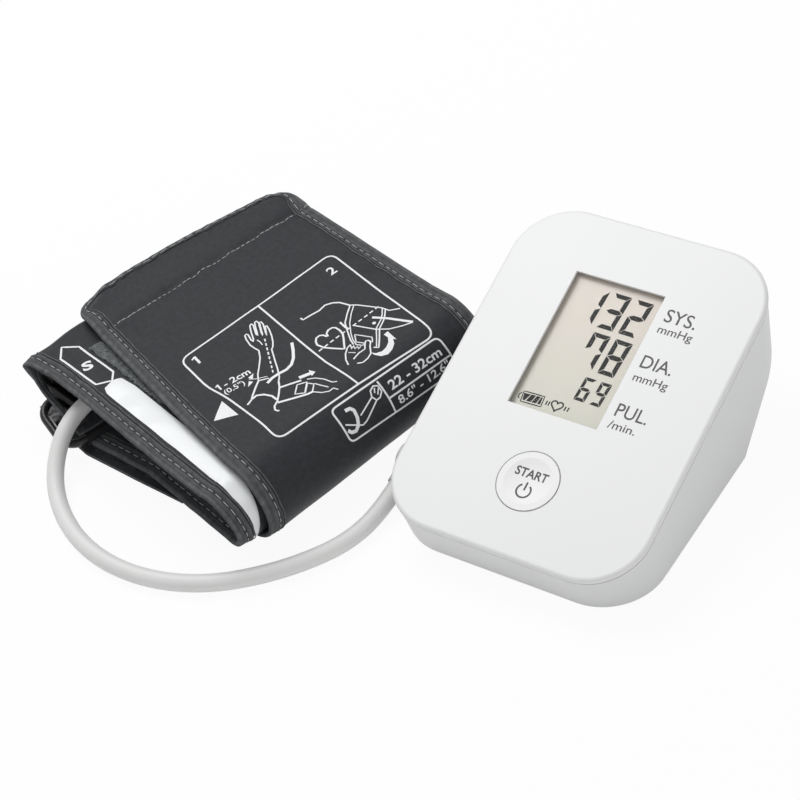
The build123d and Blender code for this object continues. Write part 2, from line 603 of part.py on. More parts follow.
def make_sockets():
    x, y, z = SOCKET
    body = rod((x + CASE_INSET, y, z), (x + SOCKET_DEPTH, y, z), SOCKET_RADIUS - JOINT_GAP)
    body += rod((x + CASE_INSET + WALL, y, z), (x + CASE_INSET + WALL + 1.2, y, z),
                SOCKET_RADIUS + 0.9)
    body -= block((x, x + SOCKET_DEPTH), (y - SOCKET_DEPTH, y + SOCKET_DEPTH), (0, BASE_Z + WALL))
    body -= rod((x - 1, y, z), (x + SOCKET_DEPTH - 1.0, y, z), SOCKET_BORE)
    body += rod((x + SOCKET_DEPTH, y, z), (x + SOCKET_DEPTH + 1.2, y, z), 3.0)
    body += rod((x + SOCKET_DEPTH + 1.2, y, z), (x + SOCKET_DEPTH + 2.4, y, z), NIPPLE_RADIUS)
    put("air_socket", body)
    half = JACK_WIDTH / 2 - JOINT_GAP
    left = -CASE_WIDTH / 2 + CASE_INSET
    jack = block((left, left + JACK_LENGTH), (JACK_Y - half, JACK_Y + half),
                 (JACK_Z - half, JACK_Z + half))
    jack -= rod((left - 1, JACK_Y, JACK_Z), (left + JACK_LENGTH - 2, JACK_Y, JACK_Z), JACK_BORE)
    jack += rod((left + 1.5, JACK_Y, JACK_Z), (left + JACK_LENGTH - 1, JACK_Y, JACK_Z), JACK_PIN)
    collar = JACK_WIDTH / 2 + 1.2
    jack += block((left + WALL, left + WALL + 1.2), (JACK_Y - collar, JACK_Y + collar),
                  (JACK_Z - collar, JACK_Z + collar))
    put("power_jack", jack)


def make_fasteners():
    screws = []
    for x, y in BOSSES:
        seat = screw_shaft(x, y)
        screws.append(rod((x, y, seat - SCREW_HEAD), (x, y, seat), SCREW_HEAD_RADIUS)
                      + rod((x, y, seat), (x, y, boss_height(x, y) - 2), CASE_SCREW_RADIUS))
    put("case_screws", Compound(screws))
    feet = [rod((x, y, 0), (x, y, BASE_Z + FOOT_RECESS), FOOT_RADIUS - JOINT_GAP) for x, y in FEET]
    put("rubber_feet", Compound(feet))


# ---------------------------------------------------------------- the cuff


def profile(*shapes):
    """Extrudes a section drawn across the roll (x, z) along the roll."""
    section = shapes[0]
    for extra in shapes[1:]:
        section += extra
    return extrude(Plane.XZ * section, amount=FAR, both=True)


def strip(x0, x1, low, high):
    """A flat stretch of a layer, in the roll's section."""
    return Pos((x0 + x1) / 2, (low + high) / 2) * Rectangle(x1 - x0, high - low)


def turn(x, z, outer, thickness, side):
    """Half a ring, in the roll's section: a layer going round a fold. side is 1 right, -1 left."""
    ring = Pos(x, z) * (Circle(outer) - Circle(outer - thickness))
    half = Pos(x + side * FAR / 2, z) * Rectangle(FAR, FAR)
    return ring & half


def plan(*corners):
    """An upright prism over a plan outline."""
    return extrude(make_face(Polyline(*corners, close=True)), amount=FAR)


def along_fold(x):
    """A frame whose Y axis runs along the right fold's line."""
    return Location((x, 0, 0), (0, 0, FOLD_TURN))


def left_of_fold(x):
    """Everything left of an upright plane that runs along the fold's line."""
    return along_fold(x) * block((-2 * FAR, 0), (-FAR, FAR), (-FAR, FAR))


def fold_shift(x):
    """How far back an edge square to the fold's line has moved at x, right of the fold."""
    return (x - FOLD_X) * tan(radians(FOLD_TURN))


def flap_outline(inset=0.0):
    """The flap's plan, with round corners at its free end."""
    left = -FLAP_REACH + inset
    corners = make_face(Polyline((left, FLAP_FRONT_FREE + inset), (HINGE_X, FLAP_FRONT_ROOT + inset),
                                 (HINGE_X, FLAP_BACK_ROOT - inset), (left, FLAP_BACK_FREE - inset),
                                 close=True))
    free_end = corners.vertices().sort_by(Axis.X)[:2]
    return extrude(fillet(free_end, FLAP_CORNER - inset), amount=FAR)


def desk_side():
    """What lies beyond the cuff's clearance to the desk unit, in the cuff's own frame."""
    edge = DESK_X - CASE_WIDTH / 2 - CUFF_WALL_GAP
    return CUFF.inverse() * block((edge, FAR), (-FAR, FAR), (-1, FAR))


def make_flap():
    slab = profile(strip(-2 * FLAP_REACH, HINGE_X, FLAP_Z, CUFF_HEIGHT)) & flap_outline(1.0)
    slab &= left_of_fold(HINGE_X - HINGE_GAP)
    frame = profile(strip(-2 * FLAP_REACH, HINGE_X, FLAP_Z - BINDING_PROUD,
                          CUFF_HEIGHT + BINDING_PROUD))
    frame &= flap_outline() - flap_outline(BINDING_WIDTH)
    frame &= left_of_fold(HINGE_X - 2 * HINGE_GAP - BINDING_PROUD)
    put("flap_cloth", slab, CUFF)
    put("flap_binding", frame - slab, CUFF)
    put("hook_patch", block(HOOK_X, HOOK_Y, (FLAP_Z - HOOK_THICKNESS, FLAP_Z)), CUFF)


def make_wrap():
    """The outer turn, from its start at the lower left round the right fold to the hinge line."""
    bottom = profile(strip(WRAP_LEFT, FAR, 0, FLAP_LAYER)) & left_of_fold(FOLD_X)
    fold = along_fold(FOLD_X) * profile(turn(0, FOLD_RADIUS, FOLD_RADIUS, FLAP_LAYER, 1))
    root = profile(strip(0, FAR, FLAP_Z, CUFF_HEIGHT)) & left_of_fold(FOLD_X)
    root -= left_of_fold(HINGE_X + HINGE_GAP)
    right = CUFF_WIDTH + 15
    back = FLAP_BACK_ROOT + 2
    shape = (bottom + fold + root) & plan(
        (0, FLAP_FRONT_ROOT), (FOLD_X, FLAP_FRONT_ROOT), (right, FLAP_FRONT_ROOT + fold_shift(right)),
        (right, back + fold_shift(right)), (HINGE_X, FLAP_BACK_ROOT), (0, BODY_BACK_LEFT))
    put("cuff_wrap", shape - desk_side(), CUFF)


def beside(points, shift):
    """A path's corners moved to its left, so that each run stays parallel."""
    moved = []
    for i, point in enumerate(points):
        runs = [(points[j], points[j + 1]) for j in (i - 1, i) if 0 <= j < len(points) - 1]
        normals = [(b - a).normalized().rotate(Axis.Z, 90) for a, b in runs]
        middle = (normals[0] + normals[-1]).normalized()
        moved.append(point + middle * (shift / middle.dot(normals[0])))
    return moved


def left_side(grow):
    """The inner turn's left side, in section: along the top, round the crease, down the wall that
    stands over the D-ring's outer bar, and down inside the ring towards its sleeve."""
    half = INNER_LAYER / 2 + grow
    tilt = radians(RING_TILT)
    bar = Vector(RING_X - RING_DEPTH * cos(tilt), RING_Z + RING_DEPTH * sin(tilt))
    foot = bar + Vector(WALL_FOOT_X, RING_WIRE + WALL_FOOT_ROOM + BINDING_PROUD + INNER_LAYER / 2)
    over = RING_WIRE + SLEEVE_GAP + BINDING_PROUD + INNER_LAYER / 2
    along = RING_DEPTH / 3
    end = Vector(RING_X - along * cos(tilt) + over * sin(tilt),
                 RING_Z + along * sin(tilt) + over * cos(tilt))
    top = LOOP_Z - INNER_LAYER / 2
    points = [Vector(BLADDER_LEFT, top), Vector(CREASE_X, top), foot, end]
    bend = CREASE_RADIUS + INNER_LAYER / 2
    inner = FilletPolyline(*beside(points, half), radius=bend - half)
    outer = FilletPolyline(*beside(points, -half), radius=bend + half)
    ends = [Line(inner @ 0, outer @ 0), Line(inner @ 1, outer @ 1)]
    return make_face(inner.edges() + outer.edges() + ends)


def inner_turn(grow=0.0, margin=0.0, band=FAR):
    """The roll's inner turn, thickened by grow on both sides. Its plan starts at the front edge,
    moved back by a margin, and spans a band."""
    thick = INNER_LAYER + 2 * grow
    inner_z = FLAP_LAYER + LAYER_GAP
    flat = strip(BLADDER_LEFT - 0.01, FAR, LOOP_Z - INNER_LAYER - grow, LOOP_Z + grow)
    upper = (profile(left_side(grow)) + profile(flat)) & left_of_fold(FOLD_X)
    fold = along_fold(FOLD_X) * profile(turn(0, inner_z + INNER_FOLD, INNER_FOLD + grow, thick, 1))
    lower = profile(strip(LOWER_LEFT, FAR, inner_z - grow, inner_z + thick - grow))
    lower &= left_of_fold(FOLD_X)
    left, right = -5.0, CUFF_WIDTH + 5.0
    front = (BODY_FRONT_LEFT + margin, BODY_FRONT_RIGHT + margin)
    back = (min(BODY_BACK_LEFT, front[0] + band), min(BODY_BACK_RIGHT, front[1] + band))
    outline = Polyline((left, front[0]), (right, front[1]), (right, back[1]), (left, back[0]),
                       close=True)
    lean = BODY_SHIFT / LOOP_Z
    round_fold = extrude(Pos(0, BODY_SHIFT) * make_face(outline), amount=2 * LOOP_Z,
                         dir=(0, -lean, 1))
    bend = LOWER_FRONT_BEND + margin
    low_left = LOWER_FRONT_LEFT + margin
    low_right = front[1] + BODY_SHIFT * (LOOP_Z - inner_z) / LOOP_Z
    beneath = plan((LOWER_LEFT, low_left), (LOWER_BEND_X, bend), (right, low_right),
                   (right, min(BODY_BACK_RIGHT, low_right + band)),
                   (LOWER_BEND_X, min(BODY_BACK_LEFT, bend + band)),
                   (LOWER_LEFT, min(BODY_BACK_LEFT, low_left + band)))
    return (upper & extrude(make_face(outline), amount=FAR)) + (fold & round_fold) + (lower & beneath)


def make_body():
    cloth = inner_turn(margin=1.0) - desk_side()
    rim = inner_turn(BINDING_PROUD, band=BINDING_WIDTH)
    middle = LOOP_Z - INNER_LAYER / 2
    half = BLADDER_THICKNESS / 2
    pocket = block((BLADDER_X[0] - 1, BLADDER_X[1] + 1), (BLADDER_Y[0] - 1, BLADDER_Y[1] + 1),
                   (middle - half - BLADDER_GAP, middle + half + BLADDER_GAP))
    bladder = block(BLADDER_X, BLADDER_Y, (middle - half, middle + half))
    put("cuff_cloth", cloth - pocket, CUFF)
    put("cuff_binding", rim - cloth, CUFF)
    put("cuff_bladder", bladder, CUFF)
    put("loop_patch", block(LOOP_X, LOOP_Y, (LOOP_Z, LOOP_Z + LOOP_THICKNESS)), CUFF)


def make_ring():
    low, high = RING_Y
    loop = RectangleRounded(RING_DEPTH, high - low, RING_CORNER).face().outer_wire()
    start = Plane(origin=loop @ 0, z_dir=loop % 0)
    ring = sweep(start * Circle(RING_WIRE), path=loop)
    seat = Location((RING_X, (low + high) / 2, RING_Z), (0, RING_TILT, 0))
    put("d_ring", CUFF * seat * Pos(-RING_DEPTH / 2, 0, 0) * ring, Location())
    bore = RING_WIRE + SLEEVE_CLEARANCE
    sleeve = rod((RING_X, SLEEVE_Y[0], RING_Z), (RING_X, SLEEVE_Y[1], RING_Z), SLEEVE_RADIUS)
    sleeve -= rod((RING_X, SLEEVE_Y[0] - 1, RING_Z), (RING_X, SLEEVE_Y[1] + 1, RING_Z), bore)
    put("ring_sleeve", sleeve, CUFF)


# ---------------------------------------------------------------- the hose and its two ends


def run_way(a, b):
    """Unit vector from one route point to another."""
    return (Vector(*b) - Vector(*a)).normalized()


def route_radii(points):
    """The radius of each bend: 0.45 of the shorter run over the tangent of half the turn."""
    radii = []
    for before, here, after in zip(points, points[1:], points[2:]):
        a, b = Vector(*here) - Vector(*before), Vector(*after) - Vector(*here)
        half_turn = radians(a.get_angle(b)) / 2
        radii.append(0.45 * min(a.length, b.length) / tan(half_turn))
    return radii


def make_hose():
    radii = route_radii(HOSE_ROUTE)
    path = FilletPolyline(*HOSE_ROUTE, radius=radii)
    start = Plane(origin=path @ 0, z_dir=path % 0)
    hose = sweep(start * Circle(HOSE_DIAMETER / 2), path=path)
    expected = pi * HOSE_DIAMETER ** 2 / 4 * path.length
    print("hose radii", [round(r, 1) for r in radii])
    print(f"hose length {path.length:.1f}, volume {hose.volume:.1f}, expected {expected:.1f}")
    put("air_hose", hose, Location())


def make_port():
    """The elbow under the cuff's inner turn that the hose leaves from."""
    mouth = Vector(*HOSE_ROUTE[0])
    elbow = mouth - run_way(*HOSE_ROUTE[:2]) * PORT_REACH
    top = LOOP_Z - INNER_LAYER
    shape = rod(elbow, mouth, PORT_COLLAR)
    shape += Pos(*elbow) * Sphere(PORT_COLLAR)
    shape += rod(elbow, (elbow.X, elbow.Y, top), PORT_COLLAR - 0.8)
    shape += rod((elbow.X, elbow.Y, top - PORT_FLANGE_THICKNESS), (elbow.X, elbow.Y, top),
                 PORT_FLANGE)
    put("bladder_port", shape, Location())


def make_plug():
    """The right-angle plug: a hub square to the case's side, its nose in the socket, its tail
    along the hose's last run."""
    mouth = Vector(*HOSE_ROUTE[-1])
    hub = mouth + run_way(*HOSE_ROUTE[-2:]) * PLUG_REACH
    wall = DESK_X + SOCKET[0] + CASE_INSET
    left = wall - JOINT_GAP - PLUG_HUB_LENGTH
    shape = rod((left, hub.Y, hub.Z), (wall - JOINT_GAP, hub.Y, hub.Z), PLUG_HUB)
    shape += rod(mouth, hub, PORT_COLLAR)
    shape += rod((wall - JOINT_GAP, hub.Y, hub.Z), (wall + SOCKET_DEPTH - 2, hub.Y, hub.Z),
                 PLUG_NOSE)
    put("air_plug", shape, Location())


put("top_cover", make_top_cover())
put("bottom_case", make_bottom_case())
make_display()
make_board()
make_button()
make_batteries()
put("battery_cover", make_battery_cover())
make_pump()
make_air_path()
make_sockets()
make_fasteners()
make_flap()
make_wrap()
make_body()
make_ring()
make_hose()
make_port()
make_plug()

os.makedirs("parts", exist_ok=True)
for name, shape in nodes.items():
    export_step(shape, f"parts/{name}.step")
print(len(nodes), "nodes")
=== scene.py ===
import random
from math import cos, exp, pi, radians, sin

import bpy
from mathutils import Matrix, Vector, noise
from mathutils.bvhtree import BVHTree
from mathutils.geometry import tessellate_polygon


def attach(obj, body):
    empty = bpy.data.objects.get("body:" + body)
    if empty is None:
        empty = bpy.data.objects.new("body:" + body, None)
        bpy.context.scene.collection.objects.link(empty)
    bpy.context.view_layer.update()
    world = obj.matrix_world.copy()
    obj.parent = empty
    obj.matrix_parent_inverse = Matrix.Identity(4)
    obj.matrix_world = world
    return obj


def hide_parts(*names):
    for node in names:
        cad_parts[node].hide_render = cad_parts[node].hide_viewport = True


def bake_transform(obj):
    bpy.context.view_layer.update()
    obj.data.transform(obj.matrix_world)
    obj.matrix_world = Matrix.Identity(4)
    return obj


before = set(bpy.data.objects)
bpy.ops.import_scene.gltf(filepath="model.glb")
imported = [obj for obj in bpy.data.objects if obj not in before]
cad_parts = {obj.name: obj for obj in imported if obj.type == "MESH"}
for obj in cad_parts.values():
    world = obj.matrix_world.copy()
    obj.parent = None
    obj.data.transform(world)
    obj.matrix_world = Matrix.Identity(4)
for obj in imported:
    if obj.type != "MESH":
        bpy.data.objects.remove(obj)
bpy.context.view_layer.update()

scene = bpy.context.scene
MM = 0.001
ROOT = "monitor_and_cuff"

# ---- camera
camera_data = bpy.data.cameras.new("camera")
camera_data.lens = 108
camera_data.sensor_width = 36
camera = bpy.data.objects.new("camera", camera_data)
scene.collection.objects.link(camera)
CAMERA_RIGHT = (0.8314711, 0.52931976, -0.16874954)
CAMERA_UP = (-0.27868144, 0.66013816, 0.69753442)
CAMERA_BACK = (0.48061676, -0.53295234, 0.69639739)
pose = Matrix((CAMERA_RIGHT, CAMERA_UP, CAMERA_BACK)).transposed().to_4x4()
pose.translation = Vector((0.45776, -0.49776, 0.66968))
camera.matrix_world = pose
scene.camera = camera
scene.view_settings.view_transform = "Standard"


# ---- finishes
def add_node(tree, kind, sockets=(), **settings):
    """A new shader node. sockets maps its inputs to plain values or to other nodes' outputs."""
    node = tree.nodes.new("ShaderNode" + kind)
    for name, value in settings.items():
        setattr(node, name, value)
    for socket, value in dict(sockets).items():
        if isinstance(value, bpy.types.NodeSocket):
            tree.links.new(value, node.inputs[socket])
        else:
            node.inputs[socket].default_value = value
    return node


def mixed(tree, factor, low, high, blend="MIX"):
    """Two colours, each three numbers or an output, mixed by a factor."""
    low, high = (c if isinstance(c, bpy.types.NodeSocket) else (*c, 1) for c in (low, high))
    return add_node(tree, "Mix", {0: factor, 6: low, 7: high}, data_type="RGBA",
                    blend_type=blend).outputs[2]


def scaled(colour, factor):
    return tuple(min(1.0, c * factor) for c in colour)


def noise_factor(tree, place, scale, detail=3.0):
    sockets = {"Scale": scale, "Detail": detail, "Vector": place}
    return add_node(tree, "TexNoise", sockets).outputs["Fac"]


def new_finish(name, **sockets):
    """A new material, its node tree and its shader, with values on the shader's sockets."""
    material = bpy.data.materials.new(name)
    material.use_nodes = True
    tree = material.node_tree
    shader = tree.nodes["Principled BSDF"]
    for socket, value in sockets.items():
        shader.inputs[socket.replace("_", " ")].default_value = value
    return material, tree, shader


def add_relief(tree, shader, height, strength, depth):
    relief = add_node(tree, "Bump", {"Strength": strength, "Distance": depth, "Height": height})
    tree.links.new(relief.outputs["Normal"], shader.inputs["Normal"])


def surface(name, colour, rough, patch, spread=0.04, grain=1500.0, bump=0.06, rub=0.05,
            depth=0.0001, **sockets):
    """A finish with soft patches of colour, uneven gloss and a fine grain. patch and grain are
    noise scales per metre, spread the share by which the colour varies, rub by which the gloss."""
    material, tree, shader = new_finish(name, **sockets)
    place = add_node(tree, "TexCoord").outputs["Object"]
    patches = noise_factor(tree, place, patch)
    tone = mixed(tree, patches, scaled(colour, 1 - spread), scaled(colour, 1 + spread))
    tree.links.new(tone, shader.inputs["Base Color"])
    gloss = add_node(tree, "MapRange", {"Value": patches, "To Min": max(0.02, rough - rub),
                                        "To Max": min(1.0, rough + rub)})
    tree.links.new(gloss.outputs["Result"], shader.inputs["Roughness"])
    add_relief(tree, shader, noise_factor(tree, place, grain, 2.0), bump, depth)
    return material


def woven(name, colour, rough, pitch, contrast=0.25, bump=0.5, sheen=0.0, painted_rib_shade=False,
          shine=0.2):
    """Woven cloth. The threads follow the cut of the cloth, read from the strap attribute in
    millimetres; pitch is the distance between threads in millimetres. The tone attribute, when
    used, is multiplied in as well: it holds painted shade in a tape's grooves and painted
    highlight on its ribs, over a random tone."""
    material, tree, shader = new_finish(name, Roughness=rough, Sheen_Weight=sheen,
                                        Sheen_Roughness=0.5, Specular_IOR_Level=shine)
    strap = add_node(tree, "Attribute", attribute_name="strap").outputs["Vector"]
    wave = {"Scale": 0.314 / pitch, "Distortion": 0.6, "Detail Scale": 0.4, "Vector": strap}
    across, along = (add_node(tree, "TexWave", wave, bands_direction=direction).outputs["Fac"]
                     for direction in "XY")
    weave = add_node(tree, "Math", {0: across, 1: along}, operation="MULTIPLY").outputs["Value"]
    wear = 0.36
    worn = mixed(tree, noise_factor(tree, strap, 0.45, 6.0), scaled(colour, 1 - wear),
                 scaled(colour, 1 + wear))
    low = 1 - contrast
    tone = mixed(tree, 1.0, worn, mixed(tree, weave, (low, low, low), (1, 1, 1)), "MULTIPLY")
    # painted shade in the grooves and painted highlight on the ribs, read from the tone attribute
    if painted_rib_shade:
        rib_shade_and_tone = add_node(tree, "Attribute", attribute_name="tone").outputs["Color"]
        tone = mixed(tree, 1.0, tone, rib_shade_and_tone, "MULTIPLY")
    tree.links.new(tone, shader.inputs["Base Color"])
    add_relief(tree, shader, weave, bump, 0.00008)
    return material


def pile(name, colour, scale, spread=0.45):
    """Fuzzy loop or hook tape, mottled at the scale of its loops."""
    return surface(name, colour, 0.9, patch=scale, spread=spread, grain=scale * 1.6, bump=0.9,
                   depth=0.0006, Sheen_Weight=0.25, Specular_IOR_Level=0.2)


def graded(material, low, high, start, end):
    """Tints a finish along the desk unit, between two places from its front to its back."""
    tree = material.node_tree
    base = tree.nodes["Principled BSDF"].inputs["Base Color"]
    place = add_node(tree, "SeparateXYZ", {0: add_node(tree, "TexCoord").outputs["Object"]})
    share = add_node(tree, "MapRange", {"From Min": start, "From Max": end,
                                        "Value": place.outputs["Y"]})
    tint = mixed(tree, share.outputs["Result"], low, high)
    tree.links.new(mixed(tree, 1.0, base.links[0].from_socket, tint, "MULTIPLY"), base)
    return material


CHARCOAL = (0.040, 0.042, 0.047)
FINISH = {  # for each slot of the record
    "cover_white": surface("face_plastic", (0.80, 0.805, 0.805), 0.42, patch=14, spread=0.012,
                           grain=2600, bump=0.05, Coat_Weight=0.04, Coat_Roughness=0.25),
    "case_white": surface("case_plastic", (0.74, 0.745, 0.745), 0.42, patch=14, spread=0.015,
                          grain=2300, bump=0.08),
    "button_white": surface("button_plastic", (0.80, 0.805, 0.80), 0.36, patch=40, spread=0.012,
                            grain=2600, bump=0.04),
    "lens": surface("display_lens", (0.55, 0.56, 0.55), 0.06, patch=20, spread=0.01, rub=0.02,
                    bump=0.01, Alpha=0.03, IOR=1.49, Specular_IOR_Level=0.3),
    "display": graded(surface("display_panel", (0.70, 0.655, 0.575), 0.33, patch=9, spread=0.045,
                              grain=3500, bump=0.03),
                      (0.86, 0.91, 0.88), (1.0, 0.955, 0.965), 0.002, 0.058),
    "inner_plastic": surface("inner_plastic", (0.55, 0.56, 0.56), 0.5, patch=60),
    "socket_grey": surface("socket_plastic", (0.42, 0.43, 0.44), 0.45, patch=60),
    "black_plastic": surface("black_plastic", (0.022, 0.022, 0.024), 0.42, patch=90,
                             spread=0.12),
    "switch_plunger": surface("plunger_plastic", (0.62, 0.58, 0.46), 0.5, patch=200),
    "board": surface("solder_mask", (0.015, 0.13, 0.05), 0.3, patch=350, spread=0.25, grain=900,
                     bump=0.2),
    "shield": surface("tinned_shield", (0.62, 0.63, 0.64), 0.3, patch=150, Metallic=1.0),
    "steel": surface("plated_steel", (0.55, 0.55, 0.57), 0.3, patch=120, spread=0.08,
                     Metallic=1.0),
    "rotor_steel": surface("laminated_steel", (0.36, 0.33, 0.29), 0.45, patch=500, spread=0.2,
                           Metallic=1.0),
    "crank_plastic": surface("crank_plastic", (0.75, 0.73, 0.66), 0.5, patch=150),
    "foam_rubber": surface("foam_rubber", (0.035, 0.035, 0.038), 0.85, patch=700, spread=0.3,
                           grain=1400, bump=0.6, depth=0.0003),
    "tube_rubber": surface("tube_rubber", (0.42, 0.42, 0.40), 0.45, patch=80),
    "cell": surface("cell_sleeve", (0.03, 0.034, 0.04), 0.3, patch=50, spread=0.2),
    "cuff_cloth": woven("woven_nylon", CHARCOAL, 0.5, 0.55, sheen=0.03, shine=0.14),
    # the binding tape takes painted rib shade and highlight from its tone attribute
    "tape": woven("binding_tape", (0.100, 0.104, 0.109), 0.7, 0.7, contrast=0.35, bump=0.8,
                  painted_rib_shade=True),
    "hook": pile("hook_pile", (0.035, 0.036, 0.038), 700),
    "loop": pile("loop_pile", (0.115, 0.125, 0.128), 560, spread=0.9),
    "bladder": surface("bladder_film", (0.08, 0.08, 0.085), 0.45, patch=90, spread=0.1),
    "ring": surface("ring_coating", (0.016, 0.016, 0.017), 0.36, patch=180, spread=0.25,
                    grain=700, bump=0.12, Coat_Weight=0.08),
    "fitting": surface("fitting_plastic", (0.62, 0.62, 0.62), 0.42, patch=60, spread=0.04),
    "hose": surface("hose_rubber", (0.755, 0.755, 0.75), 0.5, patch=30, spread=0.035, grain=900,
                    bump=0.06),
}
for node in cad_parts.values():
    for slot in node.material_slots:
        slot.material = FINISH[slot.material.name.split(".")[0]]
    node.data.shade_smooth()
    node.data.set_sharp_from_angle(angle=radians(32))

# finishes that only new pieces have
thread_finish = surface("stitch_thread", (0.40, 0.405, 0.41), 0.6, patch=800, spread=0.3,
                        grain=6000, bump=0.4)
print_finish = surface("printing_ink", (0.82, 0.83, 0.84), 0.5, patch=300, spread=0.05,
                       grain=2500, bump=0.15)
bar_finish = surface("index_bar_ink", (0.84, 0.86, 0.87), 0.42, patch=30, spread=0.03, grain=2200,
                     bump=0.12, Coat_Weight=0.15)
# fibres much lighter than the loop pile they stand from: painted highlight on real fibres
fuzz_highlight_finish = pile("loop_fuzz_highlight", (0.32, 0.34, 0.34), 500, spread=0.9)
sleeve_finish = woven("sleeve_cloth", scaled(CHARCOAL, 0.5), 0.6, 0.6)
# near-black cloth, far darker than the strap's own: painted shade for the strap's slack and the
# fold's inside
shade_dark_cloth_finish = woven("shade_dark_nylon", (0.010, 0.010, 0.011), 0.34, 0.5, bump=0.3, shine=0.5)
label_finish = surface("label_ink", (0.075, 0.075, 0.08), 0.55, patch=400, spread=0.08)
gap_finish = surface("gap_shade", (0.27, 0.27, 0.275), 0.6, patch=200, spread=0.1)
digit_finish = surface("display_segments", (0.006, 0.006, 0.005), 0.6, patch=300, spread=0.15,
                       Specular_IOR_Level=0.2)


# ---- piece helpers
def placed(name, data):
    """A new object of the scene."""
    obj = bpy.data.objects.new(name, data)
    scene.collection.objects.link(obj)
    return obj


def keep(obj, material, body):
    """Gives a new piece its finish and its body."""
    obj.data.materials.clear()
    obj.data.materials.append(material)
    if body:
        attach(obj, body)
    return obj


def make_piece(name, points, faces, material, body, strap=None, smooth=True, sharp=None):
    """A mesh piece from points in metres. strap holds each point's place on the flat cut."""
    mesh = bpy.data.meshes.new(name)
    mesh.from_pydata(points, [], faces)
    if strap is not None:
        cut = mesh.attributes.new("strap", "FLOAT_VECTOR", "POINT")
        cut.data.foreach_set("vector", [c for p in strap for c in (p[0], p[1], 0.0)])
    if smooth:
        mesh.shade_smooth()
        if sharp:
            mesh.set_sharp_from_angle(angle=radians(sharp))
    mesh.validate()
    return keep(placed(name, mesh), material, body)


# ---- air hose
HOSE_RADIUS = 3.5
HOSE_ROUTE = [
    (-103.2, -30.64, 19.4), (-109.6, -46.44, 19.3), (-113.0, -63.74, 15.5), (-109.0, -79.24, 7.5),
    (-98.0, -91.94, 3.5), (-79.8, -102.94, 3.5), (-59.4, -108.14, 3.5), (-38.2, -107.14, 3.5),
    (-18.0, -100.04, 3.5), (-1.2, -87.64, 3.5), (12.0, -73.14, 3.5), (20.4, -58.94, 3.5),
    (23.9, -42.74, 4.3), (24.3, -30.04, 7.0),
]
hose_curve = bpy.data.curves.new("hose_tube", "CURVE")
hose_curve.dimensions = "3D"
spline = hose_curve.splines.new("NURBS")
spline.points.add(len(HOSE_ROUTE) - 1)
for point, place in zip(spline.points, HOSE_ROUTE):
    point.co = (*(c * MM for c in place), 1.0)
spline.order_u = 3
spline.use_endpoint_u = True
spline.resolution_u = 16
hose_curve.bevel_depth = HOSE_RADIUS * MM
hose_curve.bevel_resolution = 8
hose_curve.use_fill_caps = True
hose = keep(placed("hose_tube", hose_curve), FINISH["hose"], ROOT)
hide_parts("air_hose")
[c * MM for c in HOSE_ROUTE[0]]

# ---- the cuff's own frame
CUFF_TURN = radians(-24)
CUFF_ORIGIN = (-122.0, -19.04)
FOLD_X = 111.5  # where the right fold starts, at the strap's middle line
FOLD_TURN = radians(8.5)
FOLD_FRONT, FOLD_BACK = -4.35, 111.5  # the outer turn's edges, along the fold
SIDE_LIMIT = 26.4  # the roll is squeezed to stay left of this, beside the desk unit
SQUEEZE = 6.0  # and this is the width that takes it up
LOWEST = 0.05  # how low its points may lie over the floor


def cuff_point(u, v, z):
    """A point of the cuff's frame, in millimetres, as the world's metres."""
    x = CUFF_ORIGIN[0] + u * cos(CUFF_TURN) - v * sin(CUFF_TURN)
    y = CUFF_ORIGIN[1] + u * sin(CUFF_TURN) + v * cos(CUFF_TURN)
    free = SIDE_LIMIT - SQUEEZE
    if x > free:
        x = free + SQUEEZE * (1 - exp(-(x - free) / SQUEEZE))
    return Vector((x * MM, y * MM, max(z, LOWEST) * MM))


def fold_split(U, V):
    """A flat place on the strap as its distance past the fold's start, and along the fold."""
    n = (U - FOLD_X) * cos(FOLD_TURN) + V * sin(FOLD_TURN)
    t = -(U - FOLD_X) * sin(FOLD_TURN) + V * cos(FOLD_TURN)
    return n, t


def fold_join(n, t):
    """The flat place at a distance past the fold's start, and along the fold."""
    return (FOLD_X + n * cos(FOLD_TURN) - t * sin(FOLD_TURN),
            n * sin(FOLD_TURN) + t * cos(FOLD_TURN))


def around_fold(U, V, h, outer, middle, centre):
    """Bends a flat strap round the right fold. outer is the radius whose arc keeps the strap's
    length, middle that of the layer's middle surface, and h the height above it."""
    n, t = fold_split(U, V)
    if n <= 0:
        return U, V, centre + middle + h
    angle = n / outer
    if angle <= pi:
        across, z = (middle + h) * sin(angle), centre + (middle + h) * cos(angle)
    else:
        across, z = -(n - pi * outer), centre - middle - h
    u, v = fold_join(across, t)
    return u, v, z


def smooth_step(x):
    x = min(1.0, max(0.0, x))
    return x * x * (3 - 2 * x)


def ripple(a, b, seed):
    """Smooth unevenness between about -1 and 1."""
    return 1.8 * noise.noise(Vector((a, b, seed)))


def turned_corner(a, b, c, size, count):
    """Places round the corner at b, from size before it to size after it."""
    start = b + (a - b).normalized() * size
    end = b + (c - b).normalized() * size
    shares = [k / count for k in range(count + 1)]
    return [start.lerp(b, f).lerp(b.lerp(end, f), f) for f in shares]


def distances(points):
    """How far along a run of points each of them is."""
    along = [0.0]
    for p, q in zip(points, points[1:]):
        along.append(along[-1] + (q - p).length)
    return along


def leg_end(along, reach):
    """The number of the point that ends the leg with a distance in it."""
    k = 1
    while k < len(along) - 1 and along[k] < reach:
        k += 1
    return k


def path_table(corners, bend):
    """A run of (x, z) corners with rounded bends, as points with their distance along it."""
    corners = [Vector(c) for c in corners]
    points = [corners[0]]
    for a, b, c in zip(corners, corners[1:], corners[2:]):
        points += turned_corner(a, b, c, bend, 8)
    points.append(corners[-1])
    return points, distances(points)


